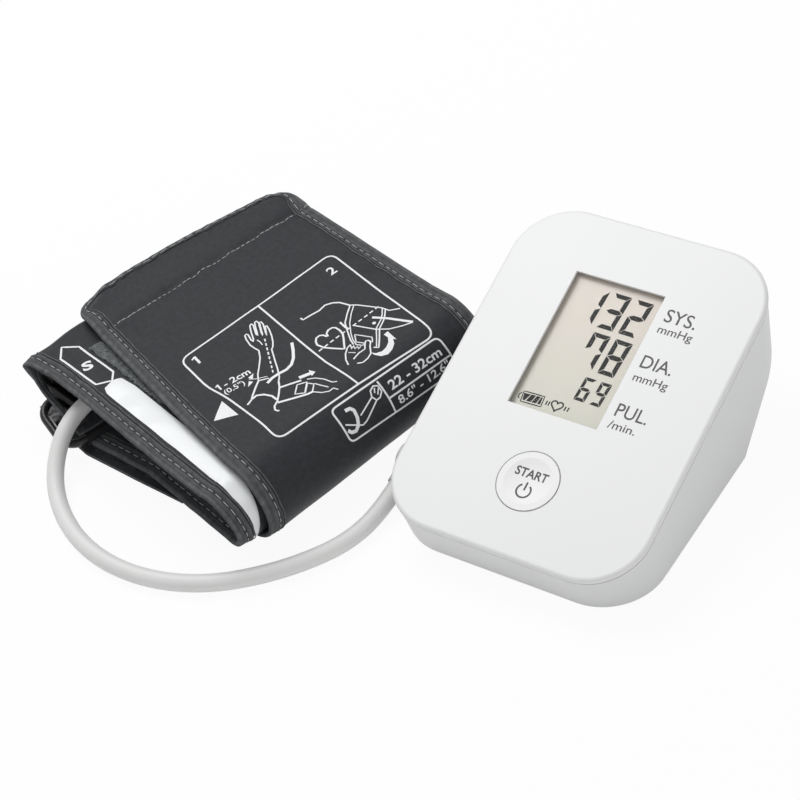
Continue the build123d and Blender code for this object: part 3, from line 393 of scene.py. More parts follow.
# the inner turn's left side: along the top, round the crease, down the wall, in over the D-ring
LEFT_START = 34.0
WALL_FOOT = [(21.85, 11.35), (29.6, 10.3), (37.0, 7.8)]
FULL_LEAN = 6.6  # how much further out the crease lies in the second path
left_side = path_table([(LEFT_START, 32.2), (2.0, 32.2), (4.94, 17.47)] + WALL_FOOT, 2.4)
left_lean = path_table([(LEFT_START, 32.2), (2.0 - FULL_LEAN, 32.2), (1.9, 17.47)] + WALL_FOOT,
                       2.4)
LEFT_LENGTH = left_side[1][-1]


def follow(path, reach, h):
    """The (x, z) place at a distance along a path, h off its right side."""
    points, along = path
    k = leg_end(along, reach)
    run = (points[k] - points[k - 1]).normalized()
    spot = points[k - 1] + run * (reach - along[k - 1])
    return spot.x + run.y * h, spot.y - run.x * h


# the arc that keeps the layer's length, its middle surface's radius, and the height of its centre
INNER_FOLD = (15.25, 13.75, 18.45)
OUTER_FOLD = (19.0, 17.8, 19.0)


def inner_place(U, V, h):
    """The inner turn: h above its middle surface, outwards from the roll."""
    if U >= LEFT_START:
        return cuff_point(*around_fold(U, V, h, *INNER_FOLD))
    lean = 4.3 + 0.7 * smooth_step((V + 38.5) / 6.3) + 1.6 * smooth_step((V + 28) / 21)
    near = Vector(follow(left_side, LEFT_START - U, h))
    far = Vector(follow(left_lean, LEFT_START - U, h))
    spot = near.lerp(far, lean / FULL_LEAN)
    return cuff_point(spot.x, V, spot.y)


def outer_place(U, V, h):
    """The outer turn: the flap, the right fold and the bottom."""
    return cuff_point(*around_fold(U, V, h, *OUTER_FOLD))


FLAP_END = -12.0


def flap_front(U):
    return -7.7 + 0.022 * (U - FLAP_END)


def flap_back(U):
    return 95.0 + 0.1347 * (U - FLAP_END)


def hem_line(V):
    """Where the hem's stitching runs across the flap."""
    return 12.6 - 0.064 * (V - 10)


def flap_wave(U, V):
    """How far the flap's cloth stands off its flat lay."""
    lift = 0.16 + 0.22 * ripple(U / 42, V / 33, 1.3) + 0.10 * ripple(U / 13, V / 17, 4.1)
    # the hem is padded, puckered inside its tape and at its stitching, and drawn in there
    hem = hem_line(V)
    share = (U - FLAP_END) / (hem - FLAP_END)
    if 0 < share < 1:
        lift += 1.7 * sin(pi * share ** 0.8) ** 0.7
    lift -= 0.95 * abs(ripple(U / 9, V / 4.6, 5.2)) * exp(-((U + 8.8) / 2.2) ** 2)
    lift += 0.40 * ripple(U / 6, V / 4.2, 9.4) * exp(-((U - hem) / 3.0) ** 2)
    lift -= 0.40 * exp(-((U - hem) / 1.7) ** 2)
    # the free end stands up in the middle and hangs at its front corner
    lift += 1.5 * exp(-(U - FLAP_END) / 13) * sin(pi * smooth_step((V + 8) / 104))
    lift -= 3.4 * smooth_step((7 - U) / 19) * smooth_step((16 - V) / 23)
    # the cloth ripples beside its tapes, as far as the right fold
    flat = smooth_step((118 - U) / 16)
    lift += 0.5 * flat * ripple(U / 7, 3.1, 2.2) * exp(-((flap_back(U) - 8 - V) / 3.5) ** 2)
    lift += 0.35 * flat * ripple(U / 8, 7.7, 6.2) * exp(-((V - flap_front(U) - 9.2) / 3.5) ** 2)
    # and is creased near its free front corner
    corner = exp(-(((U + 4) / 12) ** 2 + ((V - 8) / 14) ** 2))
    lift += 0.9 * corner * ripple((U + V) / 6.0, (U - V) / 22.0, 7.9)
    return lift


def inner_wave(U, V):
    """How far the inner turn's cloth stands off its even lay."""
    n = fold_split(U, V)[0]
    lift = 0.14 * ripple(U / 30, V / 22, 3.3)
    edge = -36.5 + 0.165 * (U + 5)
    if n < 0:  # uneven towards the front, and lower beside its edge
        lift += 0.3 * ripple(U / 11, V / 9, 8.1) * smooth_step((-8 - V) / 8)
        lift -= 0.5 * smooth_step((edge + 10 - V) / 7) * smooth_step(U / 20)
    else:  # round the right fold
        lift += 0.35 * ripple(U / 9, V / 12, 2.9) * smooth_step(n / 10)
    if U < -5:  # crumpled from the crease down
        slack = smooth_step((-5 - U) / 6)
        lift += slack * ripple(U / 6.5, (V + 0.6 * U) / 5.0, 6.6)
        lift += slack * 0.45 * ripple(U / 2.8, V / 3.4, 1.1)
    if U < -17:  # and kept inside the even lay at the foot of the wall
        lift += smooth_step((-17 - U) / 4) * (-0.25 - 0.5 * abs(lift) - lift)
    return lift


# ---- cloth builders
def along_path(points, step):
    """A polyline of flat places, divided into steps of about the given length."""
    fine = [Vector(points[0])]
    for a, b in zip(points, points[1:]):
        a, b = Vector(a), Vector(b)
        count = max(1, round((b - a).length / step))
        fine += [a.lerp(b, k / count) for k in range(1, count + 1)]
    return fine


def front_path(columns, step):
    """The front edge of a ruled layer, with the cloth to its left."""
    return along_path([front for front, _ in columns], step)


def rear_path(columns, step):
    """The back edge of a ruled layer, with the cloth to its left."""
    return along_path([rear for _, rear in reversed(columns)], step)


def sideways(points, i):
    """Unit vector to the left of a polyline at one of its points."""
    a, b = points[max(0, i - 1)], points[min(len(points) - 1, i + 1)]
    run = (b - a).normalized()
    return Vector((-run.y, run.x))


def thin(d):
    """The share of a layer's thickness left at a distance from its bound edge."""
    return 0.4 + 0.6 * smooth_step(d / 7)


def grid_faces(columns, width, base=0, closed=False, flip=False):
    """Faces between columns of width points. closed joins each column's last point to its first."""
    faces = []
    for i in range(columns - 1):
        for j in range(width if closed else width - 1):
            a, b = base + i * width + j, base + i * width + (j + 1) % width
            faces.append((a, a + width, b + width, b) if flip else (a, b, b + width, a + width))
    return faces


def end_caps(first, last, width):
    """Faces that close a tube, given the first point of its first and last rings."""
    return [tuple(first + k for k in range(width))[::-1], tuple(last + k for k in range(width))]


def slab_faces(columns, rows):
    """Faces of a slab of columns by rows of squares. Its points are two grids, outer one first."""
    width = rows + 1
    other = width * (columns + 1)
    faces = grid_faces(columns + 1, width, flip=True) + grid_faces(columns + 1, width, other)
    for j in range(rows):
        faces.append((j, j + 1, other + j + 1, other + j))
        a = columns * width + j
        faces.append((a + 1, a, other + a, other + a + 1))
    for i in range(columns):
        a = i * width
        faces.append((a + width, a, other + a, other + a + width))
        a += rows
        faces.append((a, a + width, other + a + width, other + a))
    return faces


def layer_sheet(name, spot, columns, half, rows, material, body, bound=None, bound_end=False):
    """A thick layer of cloth ruled between pairs of front and back edge places. bound is how far
    its sides lie inside a bound edge, and bound_end says that its first end is bound as well."""
    points, strap = [], []
    margin = 0.012 if bound is None else 0.0
    shares = [margin + (1 - 2 * margin) * j / rows for j in range(rows + 1)]
    for side in (1, -1):
        for front, rear in columns:
            for share in shares:
                place = front.lerp(rear, share)
                rest = 1.0
                if bound is not None:
                    inward = bound + (rear - front).length * min(share, 1 - share)
                    if bound_end:
                        inward = min(inward, bound + place.x - columns[0][0].x)
                    rest = thin(inward)
                points.append(spot(place.x, place.y, side * half * rest))
                strap.append(place)
    return make_piece(name, points, slab_faces(len(columns) - 1, rows), material, body,
                      strap, sharp=60)


def tape(name, spot, path, width, half, body, proud, seed, seam=0.6):
    """A ribbed binding tape folded over an edge. The cloth lies to the left of the path; width may
    be a number or one per point, and seam is the share of it where the stitching runs."""
    # Across the tape: share of its width, rise and tone. The tone is low in the grooves and at the
    # tucked inner edge and high on the ribs: painted shade and painted highlight that follow the
    # ribs.
    face = [(1.0, 0.3, 0.25), (0.975, 0.75, 1.5), (0.92, 0.8, 1.2), (0.885, 0.35, 0.25),
            (0.84, 0.35, 0.35), (0.8, 0.85, 1.35), ((0.88 + seam) / 2, 0.95, 1.05),
            (seam + 0.09, 0.75, 0.8), (seam, 0.4, 0.4), (seam - 0.09, 0.75, 0.85),
            (seam - 0.16, 0.95, 1.2), (seam / 2 - 0.04, 1.0, 0.85), (0.1, 1.0, 1.5)]
    section = [(1.0, 1.0, -0.4, 0.4)] + [(share, 1.0, rise, tone) for share, rise, tone in face]
    section += [(0.02, 0.85, 0.8, 1.35), (-0.045, 0.45, 0.3, 1.0), (-0.06, 0.0, 0.0, 0.8)]
    section += [(share, -side, -rise, tone) for share, side, rise, tone in section[-2::-1]]
    points, strap, rib_shades_and_tones = [], [], []
    ring = len(section)
    for i, place in enumerate(path):
        inward = sideways(path, i)
        wide = width[i] if isinstance(width, list) else width
        uneven = 0.18 * ripple(place.x / 5, place.y / 5, seed)
        for share, side, rise, tone in section:
            reach = share * wide
            if 0.5 < share:
                reach += uneven
            at = place + inward * reach
            height = side * half * thin(max(0.0, share * wide))
            height += rise * proud * (1 + 0.25 * ripple(at.x / 3, at.y / 3, seed))
            points.append(spot(at.x, at.y, height))
            strap.append(at)
            # painted rib shade and highlight, varied by a random tone
            rib_shades_and_tones.append(tone * (1 + 0.24 * ripple(at.x / 2.2, at.y / 2.2, seed + 5)))
    faces = grid_faces(len(path), ring) + end_caps(0, len(points) - ring, ring)
    obj = make_piece(name, points, faces, FINISH["tape"], body, strap, sharp=70)
    shade = obj.data.attributes.new("tone", "FLOAT_COLOR", "POINT")
    shade.data.foreach_set("color", [c for t in rib_shades_and_tones for c in (t, t, t, 1.0)])
    return obj


STITCH_SHARES = (0.0, 0.12, 0.35, 0.65, 0.88, 1.0)  # of its length
STITCH_BULGES = (0.15, 0.7, 1.0, 1.0, 0.7, 0.15)  # and how full it is there
STITCH_SIDES = 6


def stitches(name, spot, path, inset, height, body, seed, pitch=4.2, length=3.4):
    """A row of stitches set in from a path by a distance, each a short spindle of thread."""
    rng = random.Random(seed)
    thick = 0.2
    line = [p + sideways(path, i) * inset for i, p in enumerate(path)]
    along = distances(line)
    points, strap, faces = [], [], []

    def on_line(s):
        k = leg_end(along, s)
        gap = along[k] - along[k - 1]
        return line[k - 1].lerp(line[k], (s - along[k - 1]) / gap if gap else 0.0)

    start = pitch * 0.6
    while start + length < along[-1]:
        size = length * rng.uniform(0.85, 1.12)
        base = len(points)
        for share, wide in zip(STITCH_SHARES, STITCH_BULGES):
            at = on_line(start + size * share)
            ahead = on_line(start + size * share + 0.05)
            run = (ahead - at).normalized() if (ahead - at).length > 1e-6 else Vector((1, 0))
            side = Vector((-run.y, run.x))
            for k in range(STITCH_SIDES):
                angle = 2 * pi * k / STITCH_SIDES
                place = at + side * (cos(angle) * thick * wide)
                lift = height - 0.16 * (1 - wide) + sin(angle) * thick * wide * 0.8
                points.append(spot(place.x, place.y, lift))
                strap.append(place)
        faces += grid_faces(len(STITCH_SHARES), STITCH_SIDES, base, closed=True)
        faces += end_caps(base, len(points) - STITCH_SIDES, STITCH_SIDES)
        start += pitch
    return make_piece(name, points, faces, thread_finish, body, strap)


def seam_height(half, inset, proud=0.5):
    """How high a row of stitches lies on a tape, at an inset from its edge."""
    return half * thin(inset) + 0.45 * proud + 0.1


def ink_line(points, width, spot, step=1.2, closed=False):
    """Points and faces of an inked line of a width along flat places."""
    path = along_path(points + [points[0]] if closed else points, step)
    verts = []
    count = len(path)
    for i, place in enumerate(path):
        if closed and i in (0, count - 1):
            run = (path[1] - path[-2]).normalized()
            side = Vector((-run.y, run.x))
        else:
            side = sideways(path, i)
        for sign in (-1, 1):
            at = place + side * (sign * width / 2)
            verts.append(spot(at.x, at.y))
    return verts, grid_faces(count, 2, flip=True)


PATCH_STEP = 1.6


def ink_patch(outline, spot):
    """Points and faces of an inked patch with a straight-sided outline, fine enough to follow the
    cloth."""
    flat = [Vector((x, y, 0)) for x, y in outline]
    waiting = [tuple(flat[k] for k in face) for face in tessellate_polygon([flat])]
    verts, faces = [], []
    while waiting:
        a, b, c = waiting.pop()
        sides = sorted([((b - a).length, a, b, c), ((c - b).length, b, c, a),
                        ((a - c).length, c, a, b)], key=lambda side: side[0])
        longest, p, q, other = sides[-1]
        if longest > PATCH_STEP:
            middle = (p + q) / 2
            waiting += [(p, middle, other), (middle, q, other)]
        else:
            faces.append((len(verts), len(verts) + 1, len(verts) + 2))
            verts += [spot(v.x, v.y) for v in (a, b, c)]
    return verts, faces


def ink_text(text, start, end, height, spot, embolden):
    """Points and faces of lettering between two places on its base line. Its capitals, or tallest
    strokes, are height tall, to the left of the base line's direction."""
    curve = bpy.data.curves.new("lettering", "FONT")
    curve.body = text
    curve.offset = embolden
    curve.resolution_u = 4
    obj = placed("lettering", curve)
    bpy.context.view_layer.update()
    mesh = bpy.data.meshes.new_from_object(obj)
    start, end = Vector(start), Vector(end)
    run = end - start
    side = Vector((-run.y, run.x)).normalized()
    left = min(v.co.x for v in mesh.vertices)
    wide = max(v.co.x for v in mesh.vertices) - left
    tall = max(v.co.y for v in mesh.vertices)
    verts = []
    for v in mesh.vertices:
        at = start + run * ((v.co.x - left) / wide) + side * (v.co.y / tall * height)
        verts.append(spot(at.x, at.y))
    faces = [tuple(p.vertices) for p in mesh.polygons]
    bpy.data.objects.remove(obj)
    bpy.data.curves.remove(curve)
    bpy.data.meshes.remove(mesh)
    return verts, faces


def ink_piece(name, parts, material, body):
    """Joins inked parts into one piece."""
    points, faces = [], []
    for verts, polys in parts:
        base = len(points)
        points += verts
        faces += [tuple(base + k for k in p) for p in polys]
    return make_piece(name, points, faces, material, body, smooth=False)


def arc(centre, radius, start, stop, count):
    """Flat places round an arc, angles in degrees."""
    steps = [radians(start + (stop - start) * k / count) for k in range(count + 1)]
    return [(centre[0] + radius * cos(a), centre[1] + radius * sin(a)) for a in steps]


def rounded(corners, sizes):
    """A closed outline with its corners rounded, each by its own size."""
    corners = [Vector(c) for c in corners]
    after = corners[1:] + corners[:1]
    out = []
    for a, b, c, size in zip(corners[-1:] + corners[:-1], corners, after, sizes):
        out += turned_corner(a, b, c, size, 6)
    return out


def places(text):
    """Flat places written as pairs, with a comma in each and spaces between them."""
    return [tuple(float(c) for c in pair.split(",")) for pair in text.split()]


def drawn(rows, spot):
    """Inked lines and patches from rows of a line's width, or 0 for a patch, and its places.
    A line's step may follow, and whether it is closed."""
    parts = []
    for width, outline, *more in rows:
        if isinstance(outline, str):
            outline = places(outline)
        parts.append(ink_line(outline, width, spot, *more) if width else ink_patch(outline, spot))
    return parts


# ---- the outer turn
OUTER_HALF = 1.05  # half the cloth's thickness, like the other HALF values
BOTTOM_HALF = 0.95
FLAP_CORNER = 12.0


def flap_columns(inset):
    """Front and back edge places from the flap's free end to the fold's end at the bottom."""
    columns = []
    bend = FLAP_CORNER - inset
    for k in range(13):
        angle = radians(90 * k / 12)
        U = FLAP_END + inset + bend * (1 - cos(angle))
        drop = bend * (1 - sin(angle))
        columns.append((Vector((U, flap_front(U) + inset + drop)),
                        Vector((U, flap_back(U) - inset - drop))))
    stations = [0.0, 22.0, 44.0, 66.0, 84.0]
    fronts = [Vector((U, flap_front(U) + inset)) for U in stations]
    backs = [Vector((U, flap_back(U) - inset)) for U in stations]
    for n in (0.0, 20.0, 40.0, 59.69):
        fronts.append(Vector(fold_join(n, FOLD_FRONT + inset)))
        backs.append(Vector(fold_join(n, FOLD_BACK - inset)))
    for front, next_front, rear, next_rear in zip(fronts, fronts[1:], backs, backs[1:]):
        for i in range(1, 15):
            columns.append((front.lerp(next_front, i / 14), rear.lerp(next_rear, i / 14)))
    return columns


def flap_spot(U, V, h):
    return outer_place(U, V, h + flap_wave(U, V))


HINGE_HEIGHT = 38.0
HINGE_SPAN = 14.0
HINGE_START = cuff_point(FOLD_X, 0.0, HINGE_HEIGHT)
HINGE_END = cuff_point(*fold_join(-HINGE_SPAN, 0.0), HINGE_HEIGHT)


def on_hinge(obj):
    """Bakes the placement of a flap piece into its mesh."""
    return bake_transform(obj)


outer_flap = layer_sheet("outer_flap", flap_spot, flap_columns(1.0), OUTER_HALF, 76,
                         FINISH["cuff_cloth"], None, bound=1.0, bound_end=True)
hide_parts("flap_cloth", "cuff_wrap")
on_hinge(outer_flap)

edge_columns = flap_columns(0.0)
flap_edge = [front for front, _ in reversed(edge_columns)] + [rear for _, rear in edge_columns]
flap_edge = along_path(flap_edge, 1.6)
flap_edge.reverse()
free_share = [smooth_step((6 - p.x) / 14) for p in flap_edge]
flap_widths = [7.0 - 3.9 * s for s in free_share]
flap_tape = tape("flap_tape", flap_spot, flap_edge, flap_widths, OUTER_HALF, None, 0.5, 2.0,
                 seam=0.65)
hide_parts("flap_binding")
on_hinge(flap_tape)
tape_seam = [0.65 * w for w in flap_widths]
flap_seam = [p + sideways(flap_edge, i) * tape_seam[i] for i, p in enumerate(flap_edge)]
on_hinge(stitches("flap_tape_stitches", flap_spot, flap_seam, 0.0, seam_height(OUTER_HALF, 4.2),
                  None, 3))
hem_path = along_path([(hem_line(V) + 0.4 * ripple(V / 3, 1.7, 3.1), V)
                       for V in range(-3, 101, 2)], 1.0)
stitches("flap_hem_stitches", flap_spot, hem_path, 0.0, OUTER_HALF + 0.14, "flap", 5,
         pitch=2.5, length=2.35)


def bottom_place(u, v, h):
    return cuff_point(u, v, 1.2 + h + 0.12 * (1 + ripple(u / 14, v / 14, 3.7)))


front_end, rear_end = (Vector(fold_join(0.0, t)) for t in (FOLD_FRONT, FOLD_BACK))
bottom_columns = [(Vector((15.0, FOLD_FRONT)).lerp(front_end, k / 60),
                   Vector((15.0, 100.0)).lerp(rear_end, k / 60)) for k in range(61)]
layer_sheet("outer_bottom", bottom_place, bottom_columns, BOTTOM_HALF, 60, FINISH["cuff_cloth"],
            ROOT)
tape("bottom_front_tape", bottom_place, front_path(bottom_columns, 1.8), 5.6, BOTTOM_HALF, ROOT,
     0.3, 4.0)
tape("bottom_back_tape", bottom_place, rear_path(bottom_columns, 1.8), 5.6, BOTTOM_HALF, ROOT,
     0.3, 5.0)

# ---- the inner turn
INNER_HALF = 1.35
LEFT_U = LEFT_START - LEFT_LENGTH
inner_knots = [
    ((LEFT_U, -33.5), (LEFT_U, 94.5)),
    ((LEFT_U + 33.0, -35.8), (LEFT_U + 33.0, 96.5)),
    ((-4.0, -37.3), (-4.0, 98.5)),
    ((4.0, -34.9), (4.0, 99.5)),
    ((14.4, -32.1), (14.4, 100.8)),
    ((30.0, -29.4), (30.0, 102.7)),
    ((51.8, -26.8), (50.0, 105.0)),
    ((69.0, -24.9), (66.0, 106.8)),
    ((91.6, -21.9), (84.0, 109.6)),
    (fold_join(0.0, -18.9), fold_join(0.0, 111.5)),
    (fold_join(15.7, -17.6), fold_join(15.7, 111.8)),
    (fold_join(32.0, -16.0), fold_join(32.0, 111.8)),
    (fold_join(47.9, -14.4), fold_join(47.9, 111.5)),
    (fold_join(65.7, -13.9), fold_join(65.7, 111.0)),
    (fold_join(98.7, -13.0), fold_join(90.0, 110.0)),
    (fold_join(131.6, -18.0), fold_join(112.2, 109.0)),
]


def inner_columns(inset):
    columns = []
    for (f0, r0), (f1, r1) in zip(inner_knots, inner_knots[1:]):
        f0, r0, f1, r1 = Vector(f0), Vector(r0), Vector(f1), Vector(r1)
        count = max(2, round(max((f1 - f0).length, (r1 - r0).length) / 1.6))
        for i in range(count):
            f, r = f0.lerp(f1, i / count), r0.lerp(r1, i / count)
            across = (r - f).normalized() * inset
            columns.append((f + across, r - across))
    f, r = Vector(inner_knots[-1][0]), Vector(inner_knots[-1][1])
    across = (r - f).normalized() * inset
    columns.append((f + across, r - across))
    return columns


def inner_spot(U, V, h):
    return inner_place(U, V, h + inner_wave(U, V))


inner_turn = layer_sheet("inner_turn", inner_spot, inner_columns(1.0), INNER_HALF, 84,
                         FINISH["cuff_cloth"], ROOT, bound=1.0)
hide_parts("cuff_cloth")
inner_edges = inner_columns(0.0)
inner_edge = front_path(inner_edges, 1.6)
inner_widths = [7.0 - 4.4 * smooth_step((-7 - p.x) / 5) for p in inner_edge]
inner_tape = tape("inner_front_tape", inner_spot, inner_edge, inner_widths, INNER_HALF, ROOT, 0.55,
                  8.0, seam=0.5)
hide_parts("cuff_binding")
top_edge = [p for p in inner_edge if p.x > -7]
front_seam = seam_height(INNER_HALF, 3.5, 0.55)
stitches("inner_front_stitches", inner_spot, top_edge, 3.5, front_seam, ROOT, 8)
stitches("inner_under_stitches", inner_spot, top_edge, 3.5, -front_seam, ROOT, 9)
inner_rear = rear_path(inner_edges, 1.6)
tape("inner_back_tape", inner_spot, inner_rear, 6.6, INNER_HALF, ROOT, 0.5, 9.0)
stitches("inner_back_stitches", inner_spot, inner_rear, 3.96, seam_height(INNER_HALF, 3.96),
         ROOT, 10)
tape("inner_end_tape", inner_spot, along_path(inner_edges[0][::-1], 1.6), 5.0, INNER_HALF, ROOT,
     0.3, 11.0)

# ---- hook and loop
def level(line, U):
    """The height of a line of (U, V) places at a U."""
    for a, b in zip(line, line[1:]):
        if U <= b[0]:
            share = max(0.0, (U - a[0]) / (b[0] - a[0]))
            return a[1] + (b[1] - a[1]) * share
    return line[-1][1]


def fuzzy_patch(name, spot, low_u, high_u, front, high_v, thick, body, slot, step, seed):
    """A tape whose pile stands up unevenly, with a ragged outline. front is its front edge."""
    rng = random.Random(seed)
    columns = round((high_u - low_u) / step)
    rows = round((high_v - front[0][1]) / step)
    points, strap = [], []
    for side in (1, 0):
        for i in range(columns + 1):
            for j in range(rows + 1):
                U = low_u + (high_u - low_u) * i / columns
                near = level(front, U)
                V = near + (high_v - near) * j / rows
                border = i in (0, columns) or j in (0, rows)
                U += rng.uniform(-0.35, 0.35) * step
                V += rng.uniform(-0.35, 0.35) * step * (1.6 if border else 1)
                height = side * (thick + rng.uniform(-0.32, 0.32) * abs(thick))
                points.append(spot(U, V, height))
                strap.append((U, V))
    faces = slab_faces(columns, rows)
    if thick < 0:
        faces = [f[::-1] for f in faces]
    return make_piece(name, points, faces, FINISH[slot], body, strap)


LOOP_FRONT = places("13,-13.4 15.2,-12.8 31.2,-10 41.5,-8.9 54.5,-7.4 66,-5 85.4,-2 93,-1")
PILE_DEPTH = 0.75
loop_tape = fuzzy_patch("loop_tape", lambda U, V, h: inner_spot(U, V, INNER_HALF + h), 13.5, 92.5,
                        LOOP_FRONT, 88.0, PILE_DEPTH, ROOT, "loop", 1.0, 21)
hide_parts("loop_patch")
hook_tape = fuzzy_patch("hook_tape", lambda U, V, h: flap_spot(U, V, h - OUTER_HALF), 2.5, 29.5,
                        places("2,4.5 30,4.5"), 83.5, -PILE_DEPTH, "flap", "hook", 0.9, 22)
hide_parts("hook_patch")


def loop_fibres():
    """Loose curled fibres of the loop pile along its front edge, coloured much lighter than the
    pile: painted highlight on real fibres.
    """
    rng = random.Random(31)
    points, faces = [], []
    for _ in range(5200):
        U = rng.uniform(14.0, 91.5)
        V = level(LOOP_FRONT, U) + rng.uniform(0, 9.0)
        angle = rng.uniform(0, 2 * pi)
        lean = Vector((cos(angle), sin(angle))) * rng.uniform(0.2, 0.9)
        side = Vector((-sin(angle), cos(angle))) * 0.07
        size = PILE_DEPTH * rng.uniform(0.5, 1.2)
        base = len(points)
        for share, rise in ((0, 0), (0.35, 0.8), (0.75, 1.0), (1.0, 0.55)):
            at = Vector((U, V)) + lean * share
            for sign in (-1, 1):
                place = at + side * sign * (1 - 0.5 * share)
                points.append(inner_spot(place.x, place.y, INNER_HALF + 0.5 + size * rise))
        faces += grid_faces(4, 2, base)
    make_piece("loop_fibres", points, faces, fuzz_highlight_finish, ROOT)


loop_fibres()

# ---- D-ring sleeve
RING_X, RING_Z = 28.6, 5.68


def make_sleeve():
    """The strap's turned-in end that holds the D-ring's bar: a stitched tube of cloth."""
    points, strap = [], []
    around, rings = 28, 81
    for radius in (3.08, 1.9):
        for i in range(rings):
            v = -31.0 + 119.0 * i / (rings - 1)
            for k in range(around):
                angle = 2 * pi * k / around
                grow = 0.0
                if radius > 2:
                    grow = 0.10 * ripple(v / 4, angle * 1.3, 2.4) - 0.05
                r = radius + grow
                points.append(cuff_point(RING_X + r * cos(angle), v, RING_Z + r * sin(angle)))
                strap.append((r * angle, v))
    other = around * rings
    faces = grid_faces(rings, around, closed=True)
    faces += [face[::-1] for face in grid_faces(rings, around, other, closed=True)]
    for i in (0, rings - 1):
        for k in range(around):
            a, b = i * around + k, i * around + (k + 1) % around
            face = (a, other + a, other + b, b)
            faces.append(face if i == 0 else face[::-1])
    return make_piece("ring_sleeve_cloth", points, faces, sleeve_finish, ROOT, strap,
                      sharp=60)


sleeve = make_sleeve()
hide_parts("ring_sleeve")

# the strap's slack below the D-ring, and under the roll towards its fold
def slack_place(u, v, h):
    crumple = abs(ripple(u / 3.4 + v / 17, v / 8 - u / 9, 5.5)) * smooth_step((13 - u) / 5)
    rise = 1.6 * smooth_step((u + 6.5) / 5) * smooth_step((13 - u) / 6)
    return cuff_point(u, v, 1.35 + h + rise + 0.95 * crumple * smooth_step((u + 6.5) / 5))


def straight_columns(start, length, count, front, rear):
    """Edge places of a strap cut straight across at the back. front gives the other edge."""
    stations = [start + length * k / count for k in range(count + 1)]
    return [(Vector((u, front(u))), Vector((u, rear))) for u in stations]


SLACK_START, SLACK_WIDTH, SLACK_COLUMNS = -5.6, 31.0, 34


def slack_front(u):
    """The slack's front edge, drawn in on the right, where it would show under the hose."""
    column = (u - SLACK_START) / SLACK_WIDTH * SLACK_COLUMNS
    return -37.8 + 2.4 * smooth_step((column - 22) / 10)


# the slack is made in the near-black cloth: painted shade below the D-ring and under the roll
slack_columns = straight_columns(SLACK_START, SLACK_WIDTH, SLACK_COLUMNS, slack_front, 95.0)
layer_sheet("strap_slack", slack_place, slack_columns, 0.8, 100, shade_dark_cloth_finish, ROOT)


# A crumpled near-black sheet inside the left fold, under the inner turn: painted shade of the
# fold's deep inside, with real creases.
def fold_shade_place(U, V, h):
    fold = abs(ripple(V / 2.8 + U * 0.08, U / 16, 2.6))
    return inner_place(U, V, h - INNER_HALF - 0.9 - 1.5 * fold)


fold_shade_columns = straight_columns(1.0, -36.0, 60, lambda u: -33.6, 30.0)
layer_sheet("fold_shade_sheet", fold_shade_place, fold_shade_columns, 0.35, 84, shade_dark_cloth_finish, ROOT)
UNDER_HALF = 0.85
under_front = places("19.5,-35.2 31.8,-34 58,-25.6 82,-17.4")
under_columns = straight_columns(19.5, 62.5, 40, lambda u: level(under_front, u), -4.8)
layer_sheet("strap_under_roll", bottom_place, under_columns, UNDER_HALF, 24, FINISH["cuff_cloth"],
            ROOT)
tape("under_roll_tape", bottom_place, front_path(under_columns, 1.8), 4.5, UNDER_HALF, ROOT, 0.3,
     12.0)

# ---- printing on the cuff
INK_LIFT = 0.07


def flap_ink(U, V):
    return flap_spot(U, V, OUTER_HALF + INK_LIFT)


def inner_ink(U, V):
    return inner_spot(U, V, INNER_HALF + INK_LIFT)


def figure_one(base, height):
    """The figure 1, standing on the strap's front-to-back line, its top towards the free end."""
    outline = places("0,0.3 0,0.52 1,0.52 1,0.36 0.8,0.04 0.68,0.1 0.78,0.3")
    return ink_patch([(base[0] - y * height, base[1] + x * height) for y, x in outline], flap_ink)


def dashes(start, end, count, share, width):
    """Dashes between two places, each a share of the whole way long."""
    start, end = Vector(start), Vector(end)
    return [ink_line([start.lerp(end, k / count), start.lerp(end, k / count + share)], width,
                     flap_ink) for k in range(count)]


LINE = 0.78
frame_outline = rounded(
    places("50.3,9.9 45.5,49.5 39.6,88.2 75,90.9 107.3,93.9 110.1,56.2 114.3,16.8 102.4,16.5 "
           "80.8,13.4 70.6,10.6"),
    [4.5, 0.5, 4.5, 0.5, 4.5, 0.5, 4.5, 4.0, 4.0, 4.0])
size_box = rounded(places("114.2,40.4 108.4,94.2 124.2,97.2 129,42.2"), [2.6] * 4)
parts = drawn([
    (LINE, frame_outline, 1.2, True),
    (LINE, "45.5,49.5 75.3,51.3 92.2,52.7 106.6,55.3 110.1,56.1"),
], flap_ink)
parts += [
    figure_one((57.4, 13.2), 4.9),
    ink_text("2", (50.9, 81.2), (50.7, 84.5), 4.5, flap_ink, 0.02),
    figure_one((76.0, 12.7), 3.4),
    ink_text("- 2cm", (76.0, 16.0), (76.5, 27.6), 3.3, flap_ink, 0.02),
    ink_text("(0.5\")", (79.6, 14.0), (80.1, 22.8), 2.7, flap_ink, 0.01),
]
parts += drawn([
    (0, "81.7,11 92.6,12.1 88.7,3.2"),
    (LINE, size_box, 1.2, True),
    (LINE, "112.7,62.9 120.7,64 126.8,64.7"),
    (LINE, "120.7,64 117.1,96"),
], flap_ink)
parts += [
    ink_text("22 - 32cm", (118.4, 66.6), (115.5, 92.6), 3.8, flap_ink, 0.02),
    ink_text("8.6\" - 12.6\"", (125.0, 67.8), (121.4, 94.0), 3.5, flap_ink, 0.015),
]
